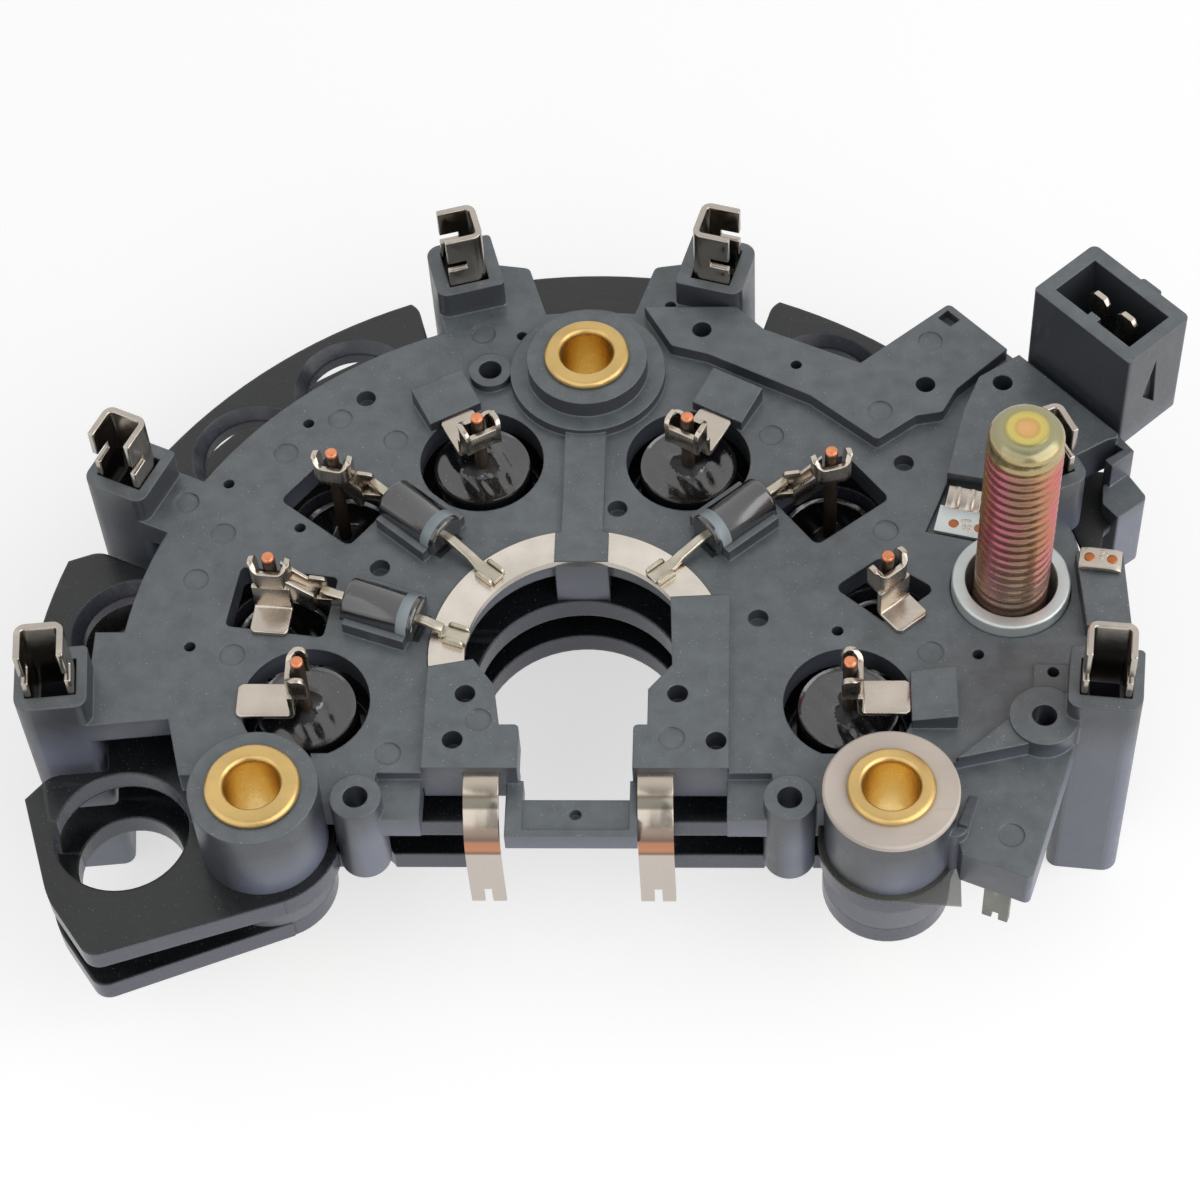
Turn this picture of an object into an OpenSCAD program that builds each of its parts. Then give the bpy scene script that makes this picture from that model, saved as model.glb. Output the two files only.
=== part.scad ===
// Alternator rectifier: two stacked heat sinks, a terminal moulding, press-fit
// diodes, exciter diodes and their contacts. The origin is on the alternator's
// axis, at the underside of the lower heat sink. The rear of the part is +Y.

/* [Heat sinks] */
// Outer radius of both plates
plate_r = 56; // [55:0.5:58]
// How far the left rim stands out past the outer radius
rim_step = 2; // [0.5:0.5:3]
// Thickness of each plate
plate_t = 2.6; // [2:0.1:3.5]
// Space between the two plates
plate_gap = 3.9; // [3.4:0.1:6]
// Radius of the bite around the slip rings
plate_bore_r = 11; // [9:0.1:11.4]
// Distance of the straight front edges from the axis
plate_front = 16.1; // [15.5:0.1:16.8]
// Half width of the gap between the two front edges
plate_mouth = 9; // [7:0.1:9.5]
// Radius of the upper plate's lobe under the left post
left_lobe_r = 7.7; // [7:0.1:8.2]
// Radius of the upper plate's lobe under the right post
right_lobe_r = 6.9; // [6.7:0.1:7.6]
// Radius of the lower plate's lobes under the posts
lower_lobe_r = 6.5; // [6.2:0.1:7]
// Radius of the cooling holes in the upper plate
vent_r = 5.6; // [4:0.1:5.8]
// Width of the pressed bevel around the cooling holes
vent_bevel = 1.2; // [0.4:0.1:1.3]
// Radius of the cooling holes in the lower plate
lower_vent_r = 5.5; // [4:0.1:5.8]
// Distance of the cooling holes' centres from the plates' outer edge
vent_inset = 8; // [7.5:0.1:8.5]
// Place of the hole in the left foot
foot_hole_at = [-46.1, -17.3]; // [-47:0.1:47]
// Radius of the upper hole in the left foot
foot_hole_r = 6.9; // [5:0.1:6.9]

/* [Mounting] */
// Diameter of the bolt circle
bolt_circle_d = 72.5; // [72:0.1:73]
// Bore of each bush
bolt_hole_d = 5.5; // [4.5:0.1:6]
// Wall of each bush
bush_wall = 0.85; // [0.6:0.05:1.1]
// Diameter of a bush's flange
bush_flange_d = 9.4; // [8.6:0.1:11]
// Thickness of a bush's flange
bush_flange_t = 0.9; // [0.5:0.1:1.5]
// Diameter of the moulded posts
post_d = 13; // [12:0.1:13.4]
// Height of the post tops over the moulding
post_rise = 3.4; // [2.6:0.1:5]
// Diameter of the insulating collar inside the upper plate
collar_d = 9.2; // [8.8:0.1:10.5]
// Thickness of the fibre washer on the right post
washer_t = 0.9; // [0.5:0.1:1.5]
// Diameter of the fibre washer
washer_d = 13.5; // [12:0.1:14]
// Thickness of the insulating film under the right post
film_t = 0.3; // [0.2:0.05:0.5]

/* [Moulding] */
// Outer radius of the moulding's sheet
base_r = 47.2; // [46.8:0.1:47.6]
// How far the sheet's arc is set to the front of the axis
base_shift = 2; // [1.6:0.1:2.2]
// Thickness of the moulding's sheet
base_t = 3; // [2.4:0.1:4]
// Height of the sheet over the upper plate
base_lift = 3.5; // [3:0.1:5]
// Radius of the sheet's central opening
base_bore_r = 12.2; // [12:0.1:12.6]
// Diameter of the round windows over the positive diodes
window_d = 13.2; // [12.4:0.1:13.6]
// Height of the front pads over the sheet
pad_rise = 1; // [0.8:0.1:2]
// Height of the rear panel over the sheet
panel_rise = 1.6; // [1:0.1:2.4]
// Height of the slab beside the connector over the sheet
slab_rise = 2.1; // [1.6:0.1:3]
// Depth of the front apron below the sheet
apron_drop = 1.4; // [0.8:0.1:2.6]
// Diameter of the guide tubes beside the posts
tube_d = 5.2; // [4.6:0.1:5.6]
// Bore of the guide tubes
tube_bore_d = 2.5; // [1.5:0.1:3]
// Place of the right guide tube
tube_at = [21.5, -17.7]; // [-22:0.1:22]
// Diameter of the moulded pip holes
pip_d = 2.1; // [1.2:0.1:2.4]
// Depth of the moulded pip holes
pip_depth = 1.6; // [0.8:0.1:2]
// Diameter of the core pin holes through the sheet
pin_hole_d = 1.2; // [0.8:0.1:1.6]
// Diameter of the ejector pin marks
mark_d = 2.6; // [2:0.1:3.6]
// Depth of the ejector pin marks
mark_depth = 0.2; // [0.1:0.05:0.4]

/* [Stator terminals] */
// Angles of the three towers on the left side
tower_angles = [105.8, 156, 185.8]; // [100:0.1:190]
// Distances of the three towers from the axis
tower_radii = [50.9, 52.6, 53.3]; // [50:0.1:54]
// Radial depth of a tower
tower_depth = 7.4; // [7:0.1:7.8]
// Width of a tower
tower_width = 7.4; // [6.8:0.1:7.6]
// Height of a tower over the sheet
tower_rise = 3.6; // [2.5:0.1:5]
// How far the wire guides reach below the lower plate
leg_drop = 12; // [6:0.5:16]
// Width of a terminal clip
clip_w = 5; // [4.6:0.1:5.4]
// Length of a clip's wings
clip_depth = 4.2; // [3.8:0.1:4.6]
// Height of a clip over its tower
clip_rise = 7; // [5:0.1:9]
// How deep a clip sits in its tower
clip_seat = 3; // [2:0.1:5]
// Sheet thickness of a clip
clip_t = 0.7; // [0.5:0.05:0.9]
// Height of the slot in a clip's wings
clip_slot = 1.2; // [0.8:0.1:1.6]
// Size of the wire passage through a tower
wire_bore = 3; // [2:0.1:3.2]

/* [Press-fit diodes] */
// Place of the right rear positive diode
positive_rear = [11, 24.7]; // [10:0.1:26]
// Place of the right front positive diode
positive_front = [27.5, -6]; // [-7:0.1:28.5]
// Place of the right rear negative diode
negative_rear = [26, 20.1]; // [19.5:0.1:26.5]
// Place of the right side negative diode
negative_side = [31.5, 6.8]; // [6.5:0.1:32]
// Diameter of a diode's knurled press fit
press_d = 12; // [11.4:0.1:12.2]
// Diameter of a diode's potted cup
cup_d = 10.4; // [9.4:0.1:10.6]
// Height of a potted cup over its plate
cup_rise = 6; // [5:0.1:6.2]
// Diameter of the copper leads
lead_d = 1.4; // [1:0.1:1.8]
// Height of the lead tips over the sheet
lead_rise = 8; // [6:0.1:9]

/* [Lead tabs] */
// Width of a tab's foot
tab_w = 4; // [3:0.1:4.4]
// Sheet thickness of a tab
tab_t = 0.8; // [0.5:0.05:1]
// Height of the crimp on a lead
crimp_h = 3.4; // [2:0.1:4]
// Distance of the crimp's top below the lead tip
crimp_drop = 0.9; // [0.5:0.1:1.5]

/* [Exciter diodes] */
// Diameter of an exciter diode's body
exciter_d = 4.7; // [4.4:0.1:5.2]
// Length of an exciter diode's body
exciter_l = 8; // [7.6:0.1:8.6]
// Diameter of an exciter diode's wires
exciter_wire_d = 1; // [0.7:0.1:1.3]
// Height of the exciter diodes' axis over the sheet
exciter_lift = 1.6; // [1.4:0.1:2.2]

/* [Field ring] */
// Inner radius of the field ring
ring_in_r = 11.6; // [11.4:0.1:11.8]
// Outer radius of the field ring
ring_out_r = 15.3; // [14.6:0.1:15.6]
// Thickness of the field ring
ring_t = 0.8; // [0.7:0.1:1]
// How far the ring stands over the sheet
ring_rise = 0.3; // [0.2:0.1:0.5]

/* [Contact strips] */
// Width of a contact strip
strip_w = 3.6; // [3:0.1:3.8]
// Sheet thickness of a contact strip
strip_t = 0.5; // [0.3:0.05:0.7]
// How far a contact strip reaches below the lower plate
strip_drop = 0.3; // [0:0.1:4]
// Places of the two contact strips across the part
strip_places = [-9.2, 8.2]; // [-9.4:0.1:8.4]

/* [Output stud] */
// Place of the output stud
stud_at = [44.3, 8.1]; // [7.6:0.1:44.6]
// Diameter of the output stud
stud_d = 7.8; // [6:0.1:8]
// Diameter of the stud's plain shank below the thread
stud_shank_d = 7.2; // [5.4:0.1:7.4]
// Height of the stud over the sheet
stud_rise = 26.8; // [20:0.1:32]
// Length of the stud's plain point
stud_point = 2; // [1:0.1:3]
// Outer diameter of the stud's sleeve
sleeve_d = 12.2; // [11.6:0.1:12.6]
// Bore of the stud's sleeve
sleeve_bore_d = 9.4; // [8.8:0.1:10]
// Height of the sleeve over the sheet
sleeve_rise = 1.6; // [1:0.1:2.4]

/* [Connector] */
// Centre of the connector shell
plug_at = [55.3, 35.6]; // [35:0.1:56]
// Turn of the connector shell
plug_turn = -47.4; // [-48:0.1:-47]
// Length of the connector shell
plug_l = 13.8; // [12.8:0.1:14.2]
// Width of the connector shell
plug_w = 9.1; // [8.6:0.1:9.4]
// Wall of the connector shell
plug_wall = 1.6; // [1.2:0.1:1.8]
// Height of the connector's rim over the sheet
plug_rise = 12.5; // [10:0.1:14]
// Depth of the connector's cavity
plug_depth = 10; // [8:0.1:11]
// Spacing of the two blades
blade_pitch = 3.9; // [3.4:0.1:4.6]
// Width of a blade
blade_w = 2.6; // [2:0.1:2.8]
// Thickness of a blade
blade_t = 0.7; // [0.5:0.05:0.8]
// How far the blades stop below the rim
blade_sink = 0.8; // [0.4:0.1:3]
// How far the blades are set to the connector's outer wall
blade_shift = 0.5; // [0:0.1:1]

/* [Hidden] */
$fn = 48;
fit = 0.1;
eps = 0.01;
vent_ring_r = plate_r - vent_inset;
bolt_r = bolt_circle_d / 2;
bolt_angles = [90, 210, 330];
bolt_names = ["rear", "left", "right"];
bush_r = bolt_hole_d / 2 + bush_wall;
z_lower_top = plate_t;
z_upper_bottom = z_lower_top + plate_gap;
z_upper_top = z_upper_bottom + plate_t;
z_base_bottom = z_upper_top + base_lift;
z_base = z_base_bottom + base_t;
z_post = z_base + post_rise;
z_apron = z_base_bottom - apron_drop;
z_tower = z_base + tower_rise;
z_clip = z_tower + clip_rise;
z_lead = z_base + lead_rise;
z_exciter = z_base + exciter_lift;
z_ring = z_base + ring_rise - ring_t;
z_plug = z_base + plug_rise;
left_bush = bolt_place(1);
right_bush = bolt_place(2);
rear_bush = bolt_place(0);
neck_overlap = 3.3;
cup_gap = 0.8;
leg_gap = 0.5;
tube_gap = 0.4;
positives = concat(mirror_pair(positive_rear), mirror_pair(positive_front));
negatives = concat(mirror_pair(negative_rear), mirror_pair(negative_side));
leads = concat(positives, negatives);
// Direction of each tab's foot, its reach from the lead (0 for no foot) and its lift
tab_turns = [119, 61, 180, 0, -102, -75, -95, -50];
tab_reaches = [6.2, 6.2, 6.9, 6.2, 0, 0, 4.6, 4.4];
tab_lifts = [0.6, 0.6, 0, 0.6, 0, 0, 0, 0];
// The rear positive tabs also close on the far side of the lead
closed_far = [true, true, false, false, false, false, false, false];
ear_rise = 1;
ear_l = 2.2;
block_leads = [0, 1, 3];
block_l = 4.6;
block_w = 6;
block_rise = 2.2;
// Cooling holes: the left side carries one more than the right, which holds the stud
vent_angles = [123.3, 140.2, 171.5, 58, 39];
// Exciter diodes: centre, direction of the inner wire, its length and the lead of the outer wire
exciters = [
  [[-17, 16.14], -40.5, 7.3, 4], [[-20.02, 4.47], -19.5, 5.3, 6], [[15.9, 16.14], 220.5, 7.3, 5]];
exciter_tail = 3;
arm_h = 2.6;
arm_w = 2.3;
arm_wall = 0.45;
mouth_left = -5.6;
mouth_right = 5.9;
pad_front = -14.3;
// Side view of a contact strip, from its root in the pad to its free end
strip_level = z_base - 0.2;
strip_root = -12.6;
strip_path = [
  [strip_root, strip_level], [-15.2, strip_level], [-16.7, z_base - 0.7], [-17.9, z_base - 1.8],
  [-18.9, z_base - 3.2], [-19.6, z_base - 5], [-19.9, z_base - 7], [-19.9, z_base - 10],
  [-19.7, -strip_drop]];
notch_spare = 1;
notch_edge_r = 2.6;
rear_boss_at = [-10.6, 36.4];
side_boss_at = [46.9, -8.2];
stud_head_d = 11;
stud_head_t = 2.4;
film_corner = [7, -7.6];
// Front corners of the sheet beside the right post
apron_inner = [38, -13];
apron_outer = [46.6, -10.9];
// How far the panel under the right post lies below the sheet, and the rib that stands on it
step_drop = 1.2;
rib_size = [4.6, 0.9, 2];
rib_at = [39.7, -16.2];
rib_turn = -107;
// Outer edge of the slab, which carries the connector, and how deep the connector's foot joins it
plug_edge = [48.25, 35.95];
plug_overlap = 1.6;
plug_reach = (plug_at - plug_edge) * [-sin(plug_turn), cos(plug_turn)] - plug_w / 2 + plug_overlap;
// Levels of the wire duct that hangs outside the plates
duct_wall = 1.1;
duct_top = z_base + 1;
duct_shelf = z_base_bottom + 0.4;
duct_bottom = z_lower_top;
duct_floor = [z_upper_top + 0.4, z_upper_top + 1.6];
blade_root = 2;
weld_places = [[39.4, 17], [53.4, 9.8]];
weld_turns = [-14, -8];
weld_lengths = [5.2, 4.2];
weld_w = 2.6;
weld_t = 0.8;
weld_ramp = [2.2, 3.6];
// Core pin holes, and ejector marks with the height of their face over the sheet
pin_holes = [
  [26.5, 2.8], [40.7, -0.1], [-30, 29.9], [-37.9, 21.8], [-29.8, 16], [-40, 0.9], [-7.4, 41.9], [8.8, 46.1],
  [22.5, 36.4], [48.1, -2.6], [0.2, -17.7]];
marks = [
  [-42.2, 19.4, 0], [-32.1, 25.9, 0], [-37.9, 15.3, 0], [-40.2, 9.4, 0], [-20.4, 27.6, 0], [-35.5, -0.1, 0],
  [-18.7, -12, 0], [-26.6, 30.5, 0], [-11.7, 42.3, 0], [19.8, 28.1, 0], [35.9, 0.2, 0], [31.7, 15.5, 0],
  [31.4, 30.1, panel_rise], [37, 39.6, panel_rise], [-9.7, -8.6, pad_rise], [9.8, -10.8, pad_rise],
  [43.2, -20.6, -step_drop]];
tab_slot_at = [42.1, -23.7];
tab_slot_turn = -22;
suppressor_size = [2.7, 0.8, 8];

// Plan helpers

function bolt_place(i) = bolt_r * [cos(bolt_angles[i]), sin(bolt_angles[i])];
function mirror_pair(at) = [[-at.x, at.y], at];
// How far a tower's neck reaches in from the tower's middle to join the sheet
function neck_reach(i) = tower_radii[i] - base_r + base_shift + neck_overlap;
function unit(v) = v / norm(v);
// Outer end of an exciter diode's body and wire, in plan
function exciter_tip(e) = e[0] - (exciter_l + exciter_tail) / 2 * [cos(e[1]), sin(e[1])];
function corner_arc(before, at, after, r, steps = 6) =
  let (u = unit(before - at), w = unit(after - at))
  let (half = acos(u * w) / 2)
  let (centre = at + unit(u + w) * r / sin(half))
  let (from = at + u * r / tan(half) - centre, to = at + w * r / tan(half) - centre)
  let (start = atan2(from.y, from.x))
  let (turn = (atan2(to.y, to.x) - start + 900) % 360 - 180)
  [for (i = [0:steps]) centre + r * [cos(start + turn * i / steps), sin(start + turn * i / steps)]];
// Rounds each corner, given as x, y and its radius
function rounded(corners) =
  let (n = len(corners))
  [for (i = [0:n - 1])
    let (a = corners[(i + n - 1) % n], b = corners[i], c = corners[(i + 1) % n])
    each b[2] == 0 ? [[b.x, b.y]] : corner_arc([a.x, a.y], [b.x, b.y], [c.x, c.y], b[2])];
// Outline of a strip of sheet that follows a path
function ribbon(path, t) =
  let (n = len(path))
  let (normals = [for (i = [0:n - 1])
    let (along = unit(path[min(i + 1, n - 1)] - path[max(i - 1, 0)])) [-along.y, along.x]])
  concat(
    [for (i = [0:n - 1]) path[i] + normals[i] * t / 2],
    [for (i = [n - 1:-1:0]) path[i] - normals[i] * t / 2]);

module slab(bottom, top) {
  translate([0, 0, bottom])
    linear_extrude(top - bottom)
      children();
}

// Stands a side view upright along X, with its thickness across Y
module upright(outline, t, y) {
  translate([0, y + t / 2, 0])
    rotate([90, 0, 0])
      linear_extrude(t)
        polygon(outline);
}

module both_sides() {
  children();
  mirror([1, 0, 0])
    children();
}

module at_tower(i) {
  rotate(tower_angles[i])
    translate([tower_radii[i], 0, 0])
      children();
}

module at_plug() {
  translate(plug_at)
    rotate(plug_turn)
      children();
}

module drill(at, d, bottom, top) {
  translate([at.x, at.y, bottom])
    cylinder(d = d, h = top - bottom);
}

// Heat sinks

module leg_notch(i) {
  side = tower_width / 2 + leg_gap;
  inner = -tower_depth / 2 - leg_gap;
  lip = plate_r - tower_radii[i] - 1;
  flare = 4;
  polygon(rounded([
    [inner, -side, 0.6], [lip, -side, notch_edge_r], [lip + flare, -side - flare, 0],
    [lip + flare, side + notch_spare + flare, 0], [lip, side + notch_spare, notch_edge_r],
    [inner, side + notch_spare, 0.6]]));
}

module plate_outline(left_lobe, right_lobe) {
  difference() {
    union() {
      intersection() {
        circle(r = plate_r, $fn = 180);
        translate([-plate_r, -plate_front])
          square([2 * plate_r, plate_r + plate_front]);
      }
      intersection() {
        circle(r = plate_r + rim_step, $fn = 180);
        polygon([[-20, 5], [-70, 28], [-70, -8], [-20, -3]]);
      }
      polygon(rounded([
        [-24, -12, 0], [left_bush.x + 2.5, left_bush.y - left_lobe + 0.4, 0], [-47.9, -31.8, 1.8],
        [-52.8, -25, 10], [-57.2, -11.4, 1.5], [-50, -9, 0]]));
      translate(left_bush)
        circle(r = left_lobe);
      translate(right_bush)
        circle(r = right_lobe);
    }
    circle(r = plate_bore_r, $fn = 96);
    translate([-plate_mouth, -2 * plate_front])
      square([2 * plate_mouth, 2 * plate_front]);
    polygon([[40, -plate_front - 1], [46.5, -13], [48, -9], [70, -9], [70, -plate_front - 1]]);
    both_sides()
      for (i = [0:2])
        at_tower(i)
          leg_notch(i);
    both_sides()
      translate(tube_at)
        circle(d = tube_d + 2 * tube_gap);
  }
}

module vents(r) {
  for (a = vent_angles)
    translate(vent_ring_r * [cos(a), sin(a)])
      circle(r = r);
}

module lower_heat_sink() {
  color([0.11, 0.11, 0.12])
    difference() {
      slab(0, z_lower_top)
        difference() {
          plate_outline(lower_lobe_r, lower_lobe_r);
          vents(lower_vent_r);
          translate(foot_hole_at)
            circle(r = lower_vent_r);
        }
      for (at = negatives)
        drill(at, press_d, -1, z_lower_top + 1);
      for (i = [0:2])
        drill(bolt_place(i), 2 * (bush_r + fit), -1, z_lower_top + 1);
    }
}

module upper_heat_sink() {
  color([0.12, 0.12, 0.13])
    difference() {
      slab(z_upper_bottom, z_upper_top)
        difference() {
          plate_outline(left_lobe_r, right_lobe_r);
          vents(vent_r);
          translate(foot_hole_at)
            circle(r = foot_hole_r);
        }
      for (a = vent_angles)
        translate([vent_ring_r * cos(a), vent_ring_r * sin(a), z_upper_top - vent_bevel])
          cylinder(r1 = vent_r, r2 = vent_r + vent_bevel + fit, h = vent_bevel + fit);
      for (at = positives)
        drill(at, press_d, z_upper_bottom - 1, z_upper_top + 1);
      for (at = negatives)
        drill(at, cup_d + 2 * cup_gap, z_upper_bottom - 1, z_upper_top + 1);
      for (i = [0:2])
        drill(bolt_place(i), collar_d + 2 * fit, z_upper_bottom - 1, z_upper_top + 1);
      drill(stud_at, stud_d, z_upper_bottom - 1, z_upper_top + 1);
    }
}

// Mounting hardware

module bush(i) {
  at = bolt_place(i);
  color([0.83, 0.68, 0.35])
    difference() {
      union() {
        drill(at, 2 * bush_r, 0, z_post);
        drill(at, bush_flange_d, z_post, z_post + bush_flange_t);
      }
      drill(at, bolt_hole_d, -1, z_post + bush_flange_t + 1);
    }
}

module spacer(i) {
  at = bolt_place(i);
  color([0.55, 0.55, 0.56])
    difference() {
      drill(at, post_d, z_lower_top, z_upper_bottom);
      drill(at, 2 * (bush_r + fit), 0, z_upper_top);
    }
}

module fibre_washer() {
  color([0.80, 0.74, 0.69])
    difference() {
      drill(right_bush, washer_d, z_post - washer_t, z_post);
      drill(right_bush, 2 * (bush_r + fit), z_base, z_post + 1);
    }
}

module insulating_film() {
  reach = post_d / 2 + 0.6;
  color([0.62, 0.62, 0.60, 0.6])
    difference() {
      slab(z_upper_top, z_upper_top + film_t)
        translate(right_bush) {
          circle(r = reach);
          polygon([[0, 0], [0, -reach], film_corner, [reach, 0]]);
        }
      drill(right_bush, collar_d + 2 * fit, z_upper_bottom, z_base);
    }
}

// Press-fit diodes

module press_fit_diode(at, bottom) {
  top = bottom + plate_t + cup_rise;
  translate([at.x, at.y, bottom])
    rotate_extrude()
      polygon([
        [0, 0], [press_d / 2, 0], [press_d / 2, plate_t], [cup_d / 2, plate_t],
        [cup_d / 2, top - bottom - 0.5], [cup_d / 2 - 0.5, top - bottom], [0, top - bottom]]);
}

module positive_diode(i) {
  color([0.07, 0.07, 0.08])
    press_fit_diode(positives[i], z_upper_bottom);
}

module negative_diode(i) {
  color([0.07, 0.07, 0.08])
    press_fit_diode(negatives[i], 0);
}

module diode_lead(i) {
  foot = i < 4 ? z_upper_top + cup_rise : z_lower_top + cup_rise;
  color([0.86, 0.50, 0.33])
    translate([leads[i].x, leads[i].y, foot])
      rotate_extrude()
        polygon([
          [0, 0], [lead_d / 2, 0], [lead_d / 2, z_lead - foot - 0.3],
          [lead_d / 2 - 0.3, z_lead - foot], [0, z_lead - foot]]);
}

// Each tab: a foot on the moulding, a riser and a crimp around the lead

module crimp(i) {
  foot = z_base + tab_lifts[i];
  top = z_lead - crimp_drop;
  bottom = top - crimp_h;
  inner = lead_d / 2;
  outer = inner + tab_t;
  slab(tab_reaches[i] > 0 ? foot : bottom, top - ear_rise)
    translate([inner, -tab_w / 2])
      square([tab_t, tab_w]);
  if (closed_far[i])
    slab(bottom, top - ear_rise)
      translate([-outer, -tab_w / 2])
        square([tab_t, tab_w]);
  reach = closed_far[i] ? 2 * outer : ear_l;
  for (side = [-tab_w / 2, tab_w / 2 - tab_t])
    slab(bottom, top)
      translate([outer - reach, side])
        square([reach, tab_t]);
}

module lead_tab(i) {
  foot = z_base + tab_lifts[i];
  color([0.78, 0.74, 0.70])
    translate([leads[i].x, leads[i].y, 0]) {
      rotate(tab_turns[i]) {
        crimp(i);
        if (tab_reaches[i] > 0)
          slab(foot, foot + tab_t)
            translate([lead_d / 2, -tab_w / 2])
              square([tab_reaches[i] - lead_d / 2, tab_w]);
      }
      for (e = exciters)
        if (e[3] == i)
          exciter_arm(exciter_tip(e) - leads[i]);
    }
}

// Trough of a negative lead's tab, with a tongue that carries the outer wire of an exciter diode
module exciter_arm(to) {
  level = z_exciter - exciter_wire_d / 2;
  rim = z_exciter + exciter_wire_d;
  near = lead_d / 2 + tab_t / 4;
  far = norm(to) + exciter_tail / 3;
  mouth = norm(to) - exciter_tail / 2 - arm_wall;
  bend = mouth - tab_t;
  high = z_lead - crimp_drop - 1.6;
  low = high - arm_h;
  rotate(atan2(to.y, to.x)) {
    upright([[near, low], [bend, z_base], [mouth, z_base], [mouth, level], [near, low + tab_t]], arm_w, 0);
    upright([[bend, z_base], [far, z_base], [far, level], [bend, level]], tab_t, 0);
    for (side = [-1, 1])
      upright(
        [[near, low], [bend, z_base], [mouth, z_base], [mouth, rim], [near, high]], arm_wall,
        side * (arm_w - arm_wall) / 2);
  }
}

// Exciter diodes and the field ring

module along_exciter(i) {
  translate([exciters[i][0].x, exciters[i][0].y, z_exciter])
    rotate(exciters[i][1])
      rotate([0, 90, 0])
        children();
}

module exciter_diode(i) {
  edge = 0.5;
  color([0.10, 0.10, 0.11])
    along_exciter(i)
      translate([0, 0, -exciter_l / 2])
        rotate_extrude()
          polygon([
            [0, 0], [exciter_d / 2 - edge, 0], [exciter_d / 2, edge],
            [exciter_d / 2, exciter_l - edge], [exciter_d / 2 - edge, exciter_l], [0, exciter_l]]);
}

module exciter_wire(i) {
  reach = exciters[i][2];
  fall = z_exciter - exciter_wire_d / 2 - z_ring - ring_t;
  color([0.75, 0.72, 0.68])
    along_exciter(i) {
      translate([0, 0, exciter_l / 2])
        rotate([0, atan(fall / reach), 0])
          cylinder(d = exciter_wire_d, h = reach);
      translate([0, 0, -exciter_l / 2 - exciter_tail])
        cylinder(d = exciter_wire_d, h = exciter_tail);
    }
}

module ring_sector(inner, outer) {
  difference() {
    circle(r = outer, $fn = 96);
    circle(r = inner, $fn = 96);
    polygon([[0, 0], [40, 17], [40, -40], [-40, -40], [-40, -9.5]]);
  }
}

module field_ring() {
  color([0.78, 0.74, 0.70])
    slab(z_ring, z_ring + ring_t)
      ring_sector(ring_in_r, ring_out_r);
}

// Stator clips, contact strips, stud and small contacts

module clip_plan(w, depth, t) {
  inner = w / 2 - t;
  bend = 1.1;
  difference() {
    polygon(rounded([
      [-w / 2, -depth / 2, bend], [w / 2, -depth / 2, bend],
      [w / 2, depth / 2, 0], [-w / 2, depth / 2, 0]]));
    polygon(rounded([
      [-inner, t - depth / 2, bend - t], [inner, t - depth / 2, bend - t],
      [inner, depth, 0], [-inner, depth, 0]]));
  }
}

module stator_clip(i) {
  side = i % 3;
  slot_top = z_clip - 3.4;
  color([0.74, 0.70, 0.64])
    mirror([i < 3 ? 0 : 1, 0, 0])
      at_tower(side)
        difference() {
          slab(z_tower - clip_seat, z_clip)
            clip_plan(clip_w, clip_depth, clip_t);
          slab(slot_top - clip_slot, slot_top)
            translate([-clip_w, -clip_depth / 2 + 2 * clip_t])
              square([2 * clip_w, clip_depth]);
        }
}

module contact_strip(i) {
  notch_w = 0.8;
  notch_h = 2.6;
  color([0.79, 0.76, 0.73])
    translate([strip_places[i], 0, 0])
      difference() {
        translate([-strip_w / 2, 0, 0])
          rotate([90, 0, 90])
            linear_extrude(strip_w)
              polygon(ribbon(strip_path, strip_t));
        translate([-notch_w / 2, -plate_front - 6, -strip_drop - 1])
          cube([notch_w, 6, notch_h + 1]);
      }
}

module terminal_stud() {
  length = z_base + stud_rise - z_upper_bottom;
  thread_start = z_base + sleeve_rise + 0.2 - z_upper_bottom;
  color([0.80, 0.62, 0.45])
    translate([stud_at.x, stud_at.y, z_upper_bottom])
      rotate_extrude()
        polygon([
          [0, -stud_head_t], [stud_head_d / 2, -stud_head_t], [stud_head_d / 2, 0], [stud_d / 2, 0],
          [stud_d / 2, plate_t], [stud_shank_d / 2, plate_t], [stud_shank_d / 2, thread_start],
          [stud_d / 2, thread_start], [stud_d / 2, length - stud_point - 1],
          [stud_d / 2 - 1, length - stud_point], [stud_d / 2 - 1.2, length - 0.6],
          [stud_d / 2 - 1.8, length], [0, length]]);
}

module terminal_sleeve() {
  color([0.76, 0.79, 0.80])
    difference() {
      drill(stud_at, sleeve_d, z_upper_top, z_base + sleeve_rise);
      drill(stud_at, sleeve_bore_d, 0, z_base + sleeve_rise + 1);
    }
}

module blade_plan(i) {
  translate([(i - 0.5) * blade_pitch, blade_shift])
    square([blade_w, blade_t], center = true);
}

module connector_blade(i) {
  color([0.78, 0.76, 0.72])
    at_plug()
      slab(z_plug - plug_depth - blade_root, z_plug - blade_sink)
        blade_plan(i);
}

// The tab in the sheet's recess also climbs to the slab
module weld_tab(i) {
  seat = i == 0 ? z_base - weld_t : z_base + slab_rise;
  edge = weld_w / 2;
  color([0.76, 0.72, 0.66])
    translate([weld_places[i].x, weld_places[i].y, seat])
      rotate(weld_turns[i] + 90) {
        upright([[-edge, 0], [edge, 0], [edge, weld_t], [-edge, weld_t]], weld_lengths[i], 0);
        if (i == 0)
          upright([
            [edge - weld_t, 0], [edge, 0], [edge + weld_ramp.x, weld_t], [edge + weld_ramp.x, 2 * weld_t],
            [edge - weld_t, weld_t]], weld_ramp.y, 0);
      }
}

module suppressor_blank() {
  translate([tab_slot_at.x, tab_slot_at.y, z_base_bottom - suppressor_size.z - 0.8])
    rotate(tab_slot_turn)
      translate([-suppressor_size.x / 2, -suppressor_size.y / 2, 0])
        cube(suppressor_size);
}

module suppressor_tab() {
  color([0.55, 0.52, 0.47])
    suppressor_blank();
}

// Terminal moulding

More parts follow.
